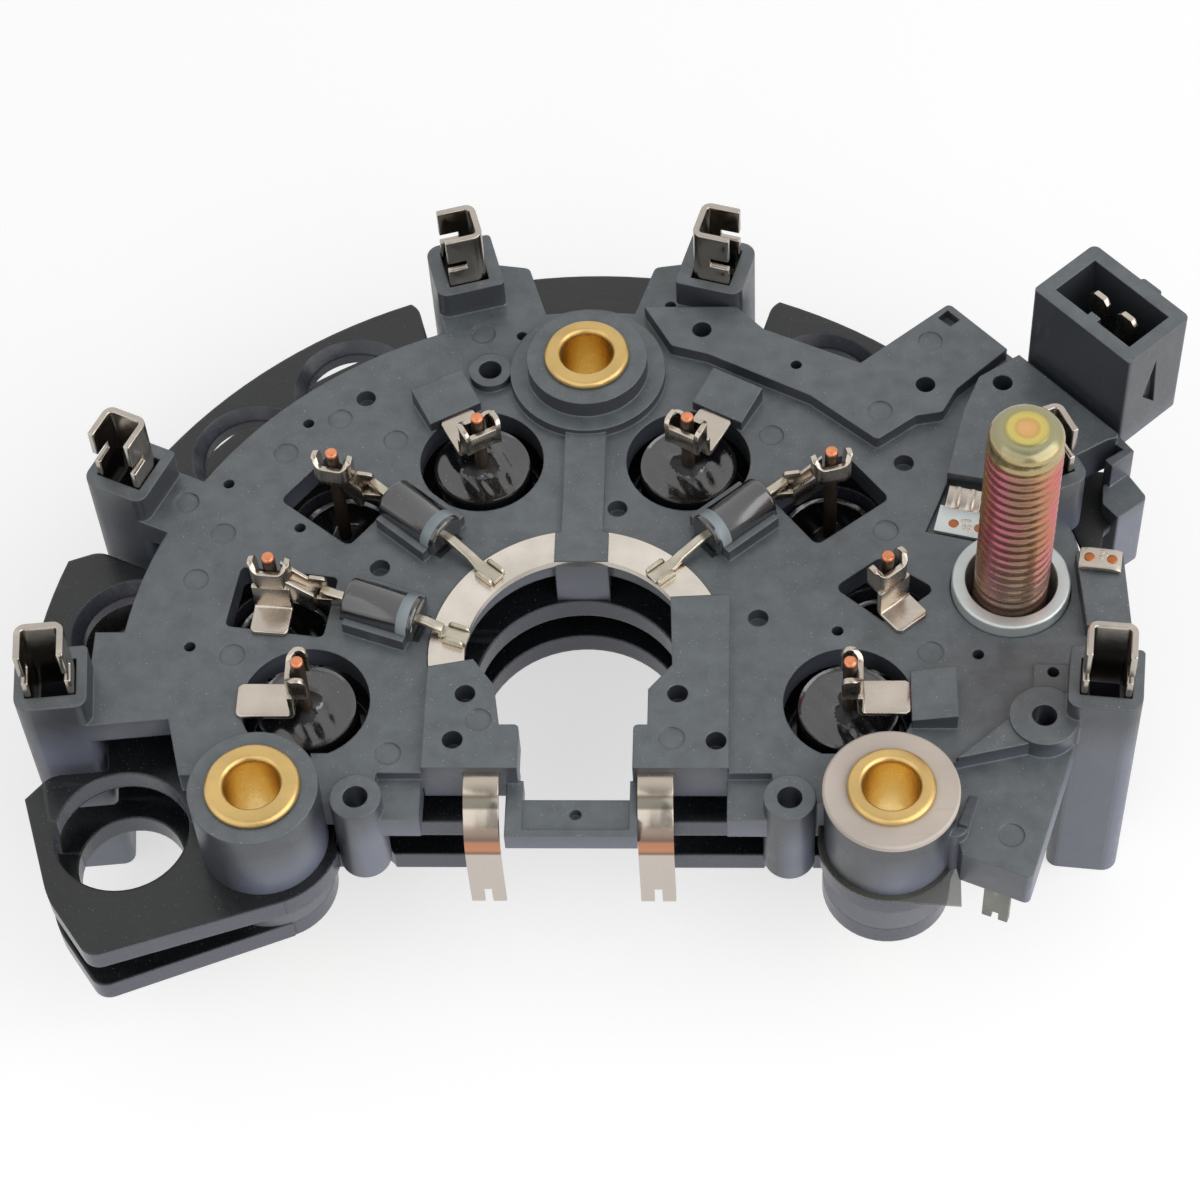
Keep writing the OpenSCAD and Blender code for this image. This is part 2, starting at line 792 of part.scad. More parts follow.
module base_outline() {
  difference() {
    union() {
      intersection() {
        translate([0, -base_shift])
          circle(r = base_r, $fn = 180);
        polygon([
          [-41.4, -7.7], [-50, -7.7], [-50, 50], [50, 50], [50, -10], apron_inner,
          [25, pad_front], [-25, pad_front], [-39.6, pad_front - 0.3]]);
      }
      translate(rear_bush)
        circle(r = post_d / 2 + 1.9);
      both_sides()
        polygon(rounded([[2, 38, 0], [4.6, 44, 0], [7, 51.6, 0.8], [13, 52.5, 0], [13, 42, 0]]));
      both_sides()
        for (i = [0:2])
          at_tower(i)
            translate([-neck_reach(i), -tower_width / 2])
              square([neck_reach(i), tower_width]);
      translate([-50, -7.7])
        square([8, 10.4]);
      polygon(rounded([
        [29.5, 36.4, 0], [39.2, 45.6, 0.8], [57.3, 26.3, 0.8], [55.2, 25.7, 0], [50, 22.6, 0], [49, 18, 0],
        [51.4, 14, 0], [52.2, 9, 0], [52.2, -8, 0], [apron_outer.x, apron_outer.y, 2],
        [apron_inner.x, apron_inner.y, 0], [30, 0, 0]]));
    }
    circle(r = base_bore_r, $fn = 96);
    translate([mouth_left, pad_front - 1])
      square([mouth_right - mouth_left, -pad_front + 1]);
  }
}

module windows() {
  for (at = positives)
    translate(at)
      circle(d = window_d);
  both_sides()
    translate(negative_rear)
      rotate(38)
        polygon(rounded([[-5.2, -4.2, 0.8], [4.6, -4.2, 0.8], [4.6, 3.4, 0.8], [-5.2, 3.4, 0.8]]));
  translate([-negative_side.x, negative_side.y])
    rotate(-8)
      polygon(rounded([[-4.6, -4, 0.6], [5.8, -4, 0.6], [5.8, 3.6, 0.6], [-4.6, 3.6, 0.6]]));
  translate(negative_side)
    polygon(rounded([[-5.3, 1.4, 0.8], [0, -3.1, 0.8], [5.2, 1.2, 0.8], [-0.5, 5.2, 0.8]]));
}

module base_sheet() {
  slab(z_base_bottom, z_base)
    difference() {
      base_outline();
      windows();
    }
}

module post(i) {
  at = bolt_place(i);
  lift = i == 2 ? film_t : 0;
  drop = i == 2 ? washer_t : 0;
  drill(at, post_d, z_upper_top + lift, z_post - drop);
  drill(at, collar_d, z_upper_bottom, z_upper_top + lift + 1);
}

module tower() {
  outline = rounded([
    [-tower_depth / 2, -tower_width / 2, 0.5], [tower_depth / 2, -tower_width / 2, 0.5],
    [tower_depth / 2, tower_width / 2, 1.6], [-tower_depth / 2, tower_width / 2, 1.2]]);
  slab(-leg_drop, z_tower)
    polygon(outline);
}

module tower_passage() {
  slab(z_tower - clip_seat, z_tower + 1)
    square([clip_w + 2 * fit, clip_depth + 2 * fit], center = true);
  slab(-leg_drop - 1, z_tower)
    square(wire_bore, center = true);
}

module pads() {
  slab(z_base_bottom, z_base + pad_rise) {
    polygon(rounded([
      [mouth_right, pad_front, 0], [15.5, pad_front, 0], [15.5, 6.7, 0], [9.4, 6.4, 0], [9.7, -2, 0],
      [7.3, -5, 0], [7.3, -9.2, 0], [mouth_right, -9.2, 0.5]]));
    polygon(rounded([
      [mouth_left, pad_front, 0], [-15.2, pad_front, 0], [-15.2, -2.2, 0], [-10.6, -1.3, 0],
      [-8.3, -4.5, 0.8], [-7.6, -9.2, 0], [mouth_left, -9.2, 0.5]]));
  }
  slab(z_apron, z_base)
    for (x = [mouth_left - 9.6, mouth_right])
      translate([x, pad_front])
        square([9.6, 2.2]);
}

// Slots in which the contact strips are moulded
module strip_slots() {
  for (x = strip_places)
    translate([x - strip_w / 2, pad_front - 1, strip_level - strip_t / 2])
      cube([strip_w, strip_root - pad_front + 1, strip_t]);
}

module bridge() {
  front = -20.4;
  wall_top = z_base_bottom + 1;
  slab(z_apron, z_base_bottom + 0.6)
    translate([-6.8, front])
      square([13.2, 4.4]);
  difference() {
    slab(z_apron, wall_top)
      translate([-6.8, front])
        square([13.2, 6.4]);
    slab(z_apron - 1, wall_top + 1)
      translate([-5.1, -16.1])
        square([10.7, 8]);
    slab(z_base_bottom + 0.6, wall_top + 1)
      translate([-5.1, front + 0.8])
        square([10.7, 8]);
  }
}

module guide_tubes() {
  both_sides() {
    drill(tube_at, tube_d, z_upper_bottom - 1.4, z_base + 1);
    slab(z_apron, z_base - 1.2)
      polygon([[15.3, -12], [15.3, -19], [tube_at.x, -19], [tube_at.x, -12]]);
    slab(z_apron, z_base)
      polygon([
        [tube_at.x - 2, -12], [tube_at.x - 1.4, tube_at.y],
        [tube_at.x + 4, tube_at.y], [tube_at.x + 5, -12]]);
  }
}

module rear_boss() {
  drill(rear_bush, post_d + 3.8, z_base_bottom, z_base + 1.2);
  slab(z_base_bottom, z_base + 0.6)
    translate([-2.2, ring_in_r - 0.4])
      square([4.4, rear_bush.y - ring_in_r]);
  slab(z_upper_top, z_base + 0.6)
    translate([-2.8, ring_in_r - 0.4])
      square([5.6, ring_out_r - ring_in_r]);
  drill(rear_boss_at, 4.6, z_base_bottom, z_base + 1);
}

module panels() {
  slab(z_base_bottom, z_base + panel_rise)
    polygon(rounded([
      [6, 44.6, 0], [9, 39.2, 0.6], [13, 38, 2], [24, 32.2, 0], [31, 26.2, 0.5], [35.2, 29.4, 0.6],
      [38, 29.9, 0.8], [39.6, 33, 0.6], [45.2, 38.4, 0], [39.2, 44.8, 0.6], [29.4, 36.6, 0], [19, 41.4, 0],
      [16, 44.6, 0]]));
  slab(z_base_bottom, z_base + slab_rise)
    polygon(rounded([
      [38.2, 21.4, 0], [47, 19.6, 0], [50, 22.6, 0], [55.2, 25.7, 0], [56.6, 26.1, 0.4], [46.4, 37.2, 0],
      [42, 34.2, 0.6], [40.2, 29.6, 0]]));
  slab(z_base_bottom, z_base + slab_rise)
    polygon(rounded([[51.6, 2, 0], [56.1, 2, 0], [55.8, 11.2, 0.5], [51, 11.2, 0]]));
  slab(z_upper_top + film_t, z_base - step_drop)
    polygon(rounded([
      [38.3, -22.8, 0], [45, -25.6, 0.6], [50.2, -9.4, 0], [46, -8, 0], [36, -12, 0]]));
}

// Wire duct beside the connector: a hooked wall and the shelf below it
module wire_duct() {
  slab(duct_bottom, duct_top)
    polygon(ribbon([[56, 26.7], [57.4, 25.1], [55.2, 23.4]], duct_wall));
  slab(duct_floor[0], duct_floor[1])
    polygon([[52.6, 19.2], [54.9, 18.9], [56.4, 20.5], [57.2, 25], [56, 26.6], [53, 26.9]]);
  slab(duct_bottom, duct_shelf)
    polygon(rounded([
      [54.7, 20.8, 0], [56.2, 18.9, 0.3], [59.5, 21.4, 0.8], [57.6, 24.6, 0], [54.9, 23.2, 0]]));
}

// Boss beside the right post, with its tongue, its pad and the rib and corner below it
module side_boss() {
  at = side_boss_at;
  boss_d = 7;
  corner = [37.6, -20.3];
  drill(at, boss_d, z_base_bottom, z_base + 1.2);
  slab(z_base_bottom, z_base + 0.8)
    polygon([apron_inner, [at.x, apron_outer.y], [at.x, at.y + 3]]);
  slab(z_base_bottom, z_base + 0.5)
    polygon([[46.2, -1.6], [50, -1.6], [50, at.y], [45.8, at.y]]);
  drill(corner, 2.6, z_upper_top + film_t, z_base);
  translate([rib_at.x, rib_at.y, z_base - step_drop])
    rotate(rib_turn)
      upright([[0, -eps], [rib_size.x, -eps], [rib_size.x, rib_size.z]], rib_size.y, 0);
}

module tab_blocks() {
  for (i = block_leads)
    translate([leads[i].x, leads[i].y, z_base])
      rotate(tab_turns[i])
        translate([tab_reaches[i], block_w / 2, 0])
          rotate([90, 0, 0])
            linear_extrude(block_w)
              polygon([[0, -eps], [block_l, -eps], [block_l, block_rise], [0, block_rise - 0.8]]);
}

module cradles() {
  wall = 0.8;
  for (i = [0:2])
    along_exciter(i)
      translate([0, -exciter_d / 2 - wall, -exciter_l / 2 + 0.6])
        cube([exciter_lift + 1, exciter_d + 2 * wall, exciter_l - 1.2]);
}

module cradle_troughs() {
  for (i = [0:2])
    along_exciter(i)
      translate([0, 0, -exciter_l / 2 - 0.4])
        cylinder(d = exciter_d, h = exciter_l + 0.8);
}

module connector_shell() {
  at_plug() {
    slab(z_base_bottom + 1.4, z_plug)
      polygon(rounded([
        [-plug_l / 2, -plug_w / 2, 0.4], [plug_l / 2, -plug_w / 2, 0.4],
        [plug_l / 2, plug_w / 2, 0.8], [-plug_l / 2, plug_w / 2, 0.8]]));
    slab(z_plug - 11, z_plug - 1.2)
      translate([0.6, plug_w / 2 - 0.2])
        polygon(rounded([[-1.4, 0, 0], [1.4, 0, 0], [1.4, 1.4, 0.4], [-1.4, 1.4, 0.4]]));
    slab(z_base_bottom + 1.4, z_base)
      translate([-plug_l / 2, -plug_w / 2 - max(plug_reach, eps)])
        square([plug_l, max(plug_reach, eps) + 1]);
  }
}

module connector_cavity() {
  at_plug() {
    slab(z_plug - plug_depth, z_plug + 1)
      difference() {
        square([plug_l - 2 * plug_wall, plug_w - 2 * plug_wall], center = true);
        translate([0, -plug_w / 2 + plug_wall])
          square([1.3, 1.2], center = true);
      }
    for (i = [0:1])
      slab(z_plug - plug_depth - blade_root, z_plug)
        blade_plan(i);
    translate([plug_l / 2 - 0.7, 0, z_plug - 7])
      rotate([90, 0, 90])
        linear_extrude(1)
          polygon([[-0.2, 4], [-1.6, -1], [0.4, -3.4]]);
  }
}

module pip_holes() {
  places = [
    [-24, 33.3], [-21, 10.8], [-11.2, -5.5], [-12.2, -11], [12.3, 41.4], [36.3, 33.6], [44.5, 33.4],
    [33.8, 24.3], [18.4, 4.4], [10.3, -5.5], [14.2, -11.1], [3.6, 18.4]];
  for (at = places)
    drill(at, pip_d, z_base - pip_depth, z_base + slab_rise + 1);
}

// Core pin holes, ejector marks and the pocket in the panel's corner
module pin_detail() {
  for (at = pin_holes)
    drill(at, pin_hole_d, z_base_bottom - 0.4, z_base + slab_rise + 1);
  for (at = marks)
    drill(at, mark_d, z_base + at.z - mark_depth, z_base + at.z + 0.3);
  slab(z_base + panel_rise - 1.2, z_base + panel_rise + 1)
    polygon([[37.9, 42.8], [39, 43.9], [40.3, 42.5], [39.2, 41.6]]);
}

// Recess of the first weld tab, which also runs in under the slab
module weld_recess() {
  slab(z_base - weld_t, z_base + 1)
    polygon([[35.8, 15.3], [38.2, 21.4], [39, 23], [43.8, 22], [43.6, 20.2], [41.8, 13.8]]);
}

module moulding_body() {
  base_sheet();
  for (i = [0:2])
    post(i);
  both_sides()
    for (i = [0:2])
      at_tower(i)
        tower();
  pads();
  bridge();
  guide_tubes();
  rear_boss();
  panels();
  wire_duct();
  side_boss();
  tab_blocks();
  cradles();
  connector_shell();
}

module terminal_moulding() {
  color([0.27, 0.28, 0.29])
    difference() {
      moulding_body();
      for (i = [0:2])
        drill(bolt_place(i), 2 * (bush_r + fit), -1, z_post + 1);
      both_sides()
        for (i = [0:2])
          at_tower(i)
            tower_passage();
      both_sides()
        drill(tube_at, tube_bore_d, -1, z_base + 2);
      drill(rear_boss_at, tube_bore_d, z_base_bottom - 1, z_base + 2);
      drill(side_boss_at, tube_bore_d, z_base_bottom - 1, z_base + 2);
      slab(z_ring, z_ring + ring_t + fit)
        ring_sector(ring_in_r - 1, ring_out_r + fit);
      drill(stud_at, sleeve_d + 2 * fit, z_base_bottom - 1, z_base + 4);
      cradle_troughs();
      pip_holes();
      pin_detail();
      connector_cavity();
      weld_recess();
      strip_slots();
      suppressor_blank();
    }
}

lower_heat_sink();
upper_heat_sink();
terminal_moulding();
for (i = [0:2]) spacer(i);
for (i = [0:2]) bush(i);
fibre_washer();
insulating_film();
for (i = [0:3]) positive_diode(i);
for (i = [0:3]) negative_diode(i);
for (i = [0:7]) diode_lead(i);
for (i = [0:7]) lead_tab(i);
for (i = [0:2]) exciter_diode(i);
for (i = [0:2]) exciter_wire(i);
field_ring();
for (i = [0:5]) stator_clip(i);
for (i = [0:1]) contact_strip(i);
terminal_stud();
terminal_sleeve();
for (i = [0:1]) connector_blade(i);
for (i = [0:1]) weld_tab(i);
suppressor_tab();
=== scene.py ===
"""Looks of an alternator rectifier: two black heat sinks, a grey terminal moulding and its contacts.

All sizes are in millimetres in the part's own frame, and are turned into metres when a piece is made.
"""

import logging
import math
from dataclasses import dataclass, replace
from enum import Enum
from itertools import product
from typing import Any, Callable, Optional, Sequence

import bmesh
import bpy
import numpy as np
from mathutils import Matrix, Vector


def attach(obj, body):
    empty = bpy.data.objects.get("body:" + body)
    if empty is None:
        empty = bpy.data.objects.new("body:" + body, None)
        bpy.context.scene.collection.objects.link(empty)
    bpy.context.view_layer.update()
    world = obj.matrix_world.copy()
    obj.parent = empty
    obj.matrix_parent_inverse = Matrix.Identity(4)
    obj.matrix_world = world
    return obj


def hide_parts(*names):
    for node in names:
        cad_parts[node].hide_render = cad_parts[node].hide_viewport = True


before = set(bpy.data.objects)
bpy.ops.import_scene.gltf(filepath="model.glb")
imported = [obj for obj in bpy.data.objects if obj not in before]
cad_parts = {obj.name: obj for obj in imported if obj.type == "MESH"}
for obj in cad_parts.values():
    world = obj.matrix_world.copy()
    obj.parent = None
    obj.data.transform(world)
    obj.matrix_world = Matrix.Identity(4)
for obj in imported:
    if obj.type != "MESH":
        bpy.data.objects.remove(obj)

MM = 0.001
# Gap that keeps touching surfaces apart
CLEAR = 0.02
# Points nearer to each other, or to the axis of a turned form, than this are taken as one
NEAR = 0.002
# Spans across a rounded edge
EDGE_SPANS = 2
LOG = logging.getLogger("rectifier")
ON_EDGE = Matrix.Rotation(math.radians(90), 4, "X")
Plan = tuple[float, float]
Space = tuple[float, float, float]
Colour = tuple[float, float, float]
Stops = Sequence[tuple[float, Colour]]
Socket = bpy.types.NodeSocket
Material = bpy.types.Material
Tree = bpy.types.NodeTree


def srgb(*levels: float) -> Colour:
    """Turns a colour as it is seen on a screen, 0 to 255, into the linear values that shaders take."""
    parts = (level / 255 for level in levels)
    return tuple(part / 12.92 if part <= 0.04045 else ((part + 0.055) / 1.055) ** 2.4 for part in parts)


class Slot(Enum):
    """Material slots of the part's record for the scene's own pieces; they are passed along but not given to
    them.
    """

    MOULDING = "moulding"
    BRASS = "brass"
    FIBRE = "fibre"
    POTTING = "potting"
    COPPER = "copper"
    NICKEL = "nickel"
    EXCITER = "exciter"
    WIRE = "tinned_wire"
    CLIP = "clip"
    STUD = "stud"
    SLEEVE = "sleeve"


class Side(Enum):
    """Side of the part as seen from its front, with the sign of its x values."""

    LEFT = -1
    RIGHT = 1


@dataclass(frozen=True)
class Levels:
    """Heights over the underside of the lower heat sink."""

    lower_top: float = 2.6
    upper_bottom: float = 6.5
    upper_top: float = 9.1
    base_bottom: float = 12.6
    base: float = 15.6
    post: float = 19.0
    tower: float = 19.2
    clip: float = 26.2
    lead: float = 23.6
    exciter: float = 17.2
    ring_top: float = 15.9
    leg: float = -12.0


LEVELS = Levels()


# Shaping


def turned(place: Sequence[float], degrees: float = 0.0, flip: bool = False) -> Matrix:
    """Turns about the vertical and moves to a place, then mirrors to the other side where flip is set."""
    matrix = Matrix.Translation(Vector(place).to_3d()) @ Matrix.Rotation(math.radians(degrees), 4, "Z")
    return Matrix.Scale(-1, 4, Vector((1, 0, 0))) @ matrix if flip else matrix


def polar(radius: float, degrees: float) -> Plan:
    """Gives the plan place at a distance from the axis and an angle."""
    return radius * math.cos(math.radians(degrees)), radius * math.sin(math.radians(degrees))


def arc(centre: Plan, radii: float | Plan, start: float, end: float, steps: int = 5) -> list[Plan]:
    """Gives points on an arc of a circle or an ellipse.

    Args:
        centre: Centre of the arc.
        radii: Its radius, or its two radii.
        start: Angle of the first point, in degrees.
        end: Angle of the last point, in degrees.
        steps: Number of spans.

    Returns:
        The points, ends included.
    """
    wide, high = radii if isinstance(radii, tuple) else (radii, radii)
    angles = np.radians(np.linspace(start, end, steps + 1))
    return [(centre[0] + wide * math.cos(a), centre[1] + high * math.sin(a)) for a in angles]


def smooth_path(points: Sequence[Plan], steps: int = 6) -> list[Vector]:
    """Runs a smooth curve through points.

    Args:
        points: Points in a plane.
        steps: Number of spans between two of them.

    Returns:
        The points of the curve.
    """
    knots = [Vector(p) for p in points]
    knots = [2 * knots[0] - knots[1]] + knots + [2 * knots[-1] - knots[-2]]
    curve = []
    for (a, b, c, d), t in product(zip(knots, knots[1:], knots[2:], knots[3:]), np.arange(steps) / steps):
        curve.append(0.5 * (2 * b + (c - a) * t + (2 * a - 5 * b + 4 * c - d) * t ** 2
                            + (3 * b - a - 3 * c + d) * t ** 3))
    return curve + [knots[-2]]


def rounded_box(width: float, height: float, radius: float, steps: int = 3) -> list[Plan]:
    """Gives the outline of a rectangle with round corners, about its centre.

    Args:
        width: Size along the first axis.
        height: Size along the second axis.
        radius: Radius of the corners.
        steps: Number of spans in each corner.

    Returns:
        The outline, anticlockwise.
    """
    x, y = width / 2 - radius, height / 2 - radius
    corners = enumerate(((x, y), (-x, y), (-x, -y), (x, -y)))
    return [p for k, corner in corners for p in arc(corner, radius, 90 * k, 90 * k + 90, steps)]


def placed(name: str, data: bpy.types.ID) -> bpy.types.Object:
    """Adds an object to the scene.

    Args:
        name: Name of the object.
        data: Its mesh, lamp or camera.

    Returns:
        The object.
    """
    piece = bpy.data.objects.new(name, data)
    bpy.context.scene.collection.objects.link(piece)
    return piece


def settle(piece: bpy.types.Object) -> None:
    """Turns a piece and its modifiers into a plain mesh.

    Args:
        piece: The piece.
    """
    graph = bpy.context.evaluated_depsgraph_get()
    mesh = bpy.data.meshes.new_from_object(piece.evaluated_get(graph), depsgraph=graph)
    piece.modifiers.clear()
    piece.data = mesh


def seat(piece: bpy.types.Object, slot: Slot, *nodes: str) -> None:
    """Joins a finished piece to the part and reports it.

    Args:
        piece: The piece.
        slot: The record's slot of its finish; not used.
        nodes: Solids that it stands for.
    """
    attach(piece, "root")
    if nodes:
        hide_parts(*nodes)
    LOG.info("%s: %d faces, for %s", piece.name, len(piece.data.polygons), ", ".join(nodes) or "itself")


def coat(material: Material, *nodes: str) -> None:
    """Gives solids of the frame a finish.

    Args:
        material: The finish.
        nodes: Names of the solids.
    """
    for node in nodes:
        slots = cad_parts[node].data.materials
        slots.clear()
        slots.append(material)
        LOG.info("%s: finish %s", node, material.name)


class Shape:
    """A mesh in the making, in millimetres, that becomes one piece."""

    def __init__(self, name: str) -> None:
        """Starts an empty shape.

        Args:
            name: Name of the piece.
        """
        self.name = name
        self.points: list[Vector] = []
        self.faces: list[list[int]] = []
        self.marks: list[int] = []

    def add(self, points: Sequence[Sequence[float]], faces: Sequence[Sequence[int]], matrix: Matrix,
            marks: Optional[list[int]] = None) -> None:
        """Adds points and the faces between them.

        Args:
            points: The new points.
            faces: Faces, by index in the new points.
            matrix: Where the points go.
            marks: Index of each face's finish, or none where all have the first.
        """
        start = len(self.points)
        self.points += [matrix @ Vector(p) for p in points]
        self.faces += [[start + i for i in face] for face in faces]
        self.marks += marks or [0] * len(faces)

    def prism(self, outline: Sequence[Plan], bottom: float, top: float, matrix: Matrix = Matrix()) -> None:
        """Adds an upright block.

        Args:
            outline: The block's plan.
            bottom: Height of its underside.
            top: Height of its top.
            matrix: Where the block goes.
        """
        n = len(outline)
        faces = [range(n)[::-1], range(n, 2 * n)]
        faces += [[i, (i + 1) % n, n + (i + 1) % n, n + i] for i in range(n)]
        self.add([(x, y, z) for z in (bottom, top) for x, y in outline], faces, matrix)

    def lathe(self, profile: Sequence[Plan], matrix: Matrix, steps: int = 64, closed: bool = False,
              mark: Callable[[int, float], int] = lambda band, angle: 0,
              form: Callable[[float, float, float], Plan] = lambda r, z, angle: (r, z)) -> None:
        """Adds a turned form about its own vertical axis.

        Args:
            profile: Radius and height of each point, from the bottom up.
            matrix: Where the form goes.
            steps: Number of spans around it.
            closed: Whether the last point joins the first, as in a ring.
            mark: Gives the index of a face's finish from its band and angle.
            form: Gives a point's radius and height from those of the profile and its angle.
        """
        angles = [2 * math.pi * k / steps for k in range(steps)]
        points, rings, faces, marks = [], [], [], []
        for r, z in profile:
            start = len(points)
            for a in angles[:1] if r < NEAR else angles:
                wide, level = form(r, z, a)
                points.append((wide * math.cos(a), wide * math.sin(a), level))
            rings.append(range(start, len(points)))
        bands = zip(rings, rings[1:] + rings[:closed])
        for (band, (low, high)), (k, a) in product(enumerate(bands), enumerate(angles)):
            corners = [ring[i % len(ring)] for ring, i in ((low, k), (low, k + 1), (high, k + 1), (high, k))]
            face = list(dict.fromkeys(corners))
            if len(face) > 2:
                faces.append(face)
                marks.append(mark(band, a))
        self.add(points, faces, matrix, marks)

    def sweep(self, path: Sequence[Plan], sections: Sequence[Sequence[Plan]], matrix: Matrix) -> None:
        """Adds a bar that follows a path in its own upright plane.

        Args:
            path: Reach and height of each point of the bar's middle line.
            sections: One outline for each point: offsets to the side and along the bar's own normal.
            matrix: Where the bar goes.
        """
        line = [Vector((x, 0, z)) for x, z in path]
        across, n = Vector((0, 1, 0)), len(sections[0])
        points: list[Vector] = []
        for i, (spot, section) in enumerate(zip(line, sections)):
            along = (line[min(i + 1, len(line) - 1)] - line[max(i - 1, 0)]).normalized()
            normal = across.cross(along).normalized()
            points += [spot + across * a + normal * b for a, b in section]
        faces = [range(n), range(len(points) - n, len(points))[::-1]]
        faces += [[i + k, i + n + k, i + n + (k + 1) % n, i + (k + 1) % n]
                  for i in range(0, len(points) - n, n) for k in range(n)]
        self.add(points, faces, matrix)

    def sheet(self, rows: Sequence[Sequence[Space]], thickness: float, matrix: Matrix = Matrix(),
              gone: Callable[[int, int], bool] = lambda i, j: False, mark: int = 0) -> None:
        """Adds a bent sheet with cut-outs.

        Args:
            rows: Grid of points on the sheet's middle.
            thickness: Thickness of the sheet.
            matrix: Where the sheet goes.
            gone: Tells whether the cell in row i and column j is cut out.
            mark: Index of its finish.
        """
        grid = np.array(rows, float)
        normal = np.cross(np.gradient(grid, axis=0), np.gradient(grid, axis=1))
        normal *= thickness / 2 / np.linalg.norm(normal, axis=2, keepdims=True)
        n, m = grid.shape[:2]
        under, faces, rim = n * m, [], {}
        for i, j in product(range(n - 1), range(m - 1)):
            if gone(i, j):
                continue
            face = [i * m + j, (i + 1) * m + j, (i + 1) * m + j + 1, i * m + j + 1]
            faces += [face, [under + k for k in face[::-1]]]
            for a, b in zip(face, face[1:] + face[:1]):
                if not rim.pop((b, a), False):
                    rim[a, b] = True
        faces += [[b, a, under + a, under + b] for a, b in rim]
        points = np.concatenate((grid + normal, grid - normal)).reshape(-1, 3)
        self.add(points, faces, matrix, [mark] * len(faces))

    def make(self, finishes: Sequence[Material], slot: Slot, *nodes: str, bevel: float = 0.0,
             angle: float = 50.0) -> None:
        """Turns the shape into a plain mesh, with its place in its points, and joins it to the part.

        Args:
            finishes: Materials, by the faces' index.
            slot: The record's slot of its finish.
            nodes: Solids that it stands for.
            bevel: Width of the rounding of the edges, or 0.
            angle: Least angle of an edge that is sharp, in degrees.
        """
        mesh = bpy.data.meshes.new(self.name)
        mesh.from_pydata([p * MM for p in self.points], [], self.faces)
        for material in finishes:
            mesh.materials.append(material)
        mesh.polygons.foreach_set("material_index", self.marks)
        form = bmesh.new()
        form.from_mesh(mesh)
        bmesh.ops.remove_doubles(form, verts=form.verts, dist=NEAR * MM)
        bmesh.ops.recalc_face_normals(form, faces=form.faces)
        form.to_mesh(mesh)
        form.free()
        piece = placed(self.name, mesh)
        if bevel:
            rounding = piece.modifiers.new("rounding", "BEVEL")
            rounding.width, rounding.segments = bevel * MM, EDGE_SPANS
            rounding.limit_method, rounding.angle_limit = "ANGLE", math.radians(angle)
            settle(piece)
        piece.data.polygons.foreach_set("use_smooth", [True] * len(piece.data.polygons))
        piece.data.set_sharp_from_angle(angle=math.radians(angle))
        seat(piece, slot, *nodes)


# Nodes


class Wiring:
    """Adds nodes to a tree and feeds them with values or with the sockets of others."""

    def __init__(self, tree: Tree) -> None:
        """Takes the tree."""
        self.tree = tree

    def feed(self, socket: Socket, value: Any) -> None:
        """Feeds an input.

        Args:
            socket: The input.
            value: A socket that is linked to it, or a plain value.
        """
        if isinstance(value, Socket):
            self.tree.links.new(value, socket)
        else:
            socket.default_value = value

    def node(self, kind: str, inputs: dict, **settings: Any) -> bpy.types.Node:
        """Adds a node.

        Args:
            kind: Blender's name of the node.
            inputs: Values or sockets, by the input's name or number.
            settings: Properties of the node.

        Returns:
            The node.
        """
        node = self.tree.nodes.new(kind)
        for name, value in settings.items():
            setattr(node, name, value)
        for key, value in inputs.items():
            self.feed(node.inputs[key], value)
        return node

    def math(self, way: str, first: Any, second: Any = 0.0, clamp: bool = False) -> Socket:
        """Works out one value from two."""
        return self.node("ShaderNodeMath", {0: first, 1: second}, operation=way, use_clamp=clamp).outputs[0]

    def vector(self, way: str, first: Any, second: Any = (0.0, 0.0, 0.0), give: str = "Vector") -> Socket:
        """Works out a vector, or a value, from two vectors."""
        return self.node("ShaderNodeVectorMath", {0: first, 1: second}, operation=way).outputs[give]

    def span(self, value: Any, start: Any, end: Any, low: Any = 0.0, high: Any = 1.0) -> Socket:
        """Maps the values from start to end onto those from low to high, and holds what lies beyond."""
        given = {"Value": value, "From Min": start, "From Max": end, "To Min": low, "To Max": high}
        return self.node("ShaderNodeMapRange", given).outputs[0]

    def noise(self, place: Socket, scale: Any, detail: float) -> Socket:
        """Gives a noise at a place."""
        given = {"Vector": place, "Scale": scale, "Detail": detail}
        return self.node("ShaderNodeTexNoise", given).outputs["Fac"]

    def place(self) -> Socket:
        """Gives the surface's place on its piece."""
        return self.node("ShaderNodeTexCoord", {}).outputs["Object"]

    def normal(self) -> Socket:
        """Gives the surface's direction."""
        return self.node("ShaderNodeNewGeometry", {}).outputs["Normal"]

    def upward(self, vector: Socket) -> Socket:
        """Gives the vertical part of a vector."""
        return self.node("ShaderNodeSeparateXYZ", {0: vector}).outputs["Z"]

    def mix(self, share: Any, under: Any, over: Any) -> Socket:
        """Mixes two colours by the share of the second."""
        under, over = (c if isinstance(c, Socket) else (*c, 1.0) for c in (under, over))
        return self.node("ShaderNodeMix", {0: share, 6: under, 7: over}, data_type="RGBA").outputs[2]

    def ramp(self, value: Socket, stops: Stops) -> Socket:
        """Turns a value into a colour.

        Args:
            value: The value, from 0 to 1.
            stops: Colours at rising values.

        Returns:
            The colour's socket.
        """
        node = self.node("ShaderNodeValToRGB", {0: value})
        elements = node.color_ramp.elements
        while len(elements) < len(stops):
            elements.new(1.0)
        for element, (place, colour) in zip(elements, stops):
            element.position, element.color = place, (*colour, 1.0)
        return node.outputs["Color"]

    def group(self, effect: Tree, **inputs: Any) -> Any:
        """Places a shared effect, with its inputs, and gives its outputs."""
        return self.node("ShaderNodeGroup", inputs, node_tree=effect).outputs


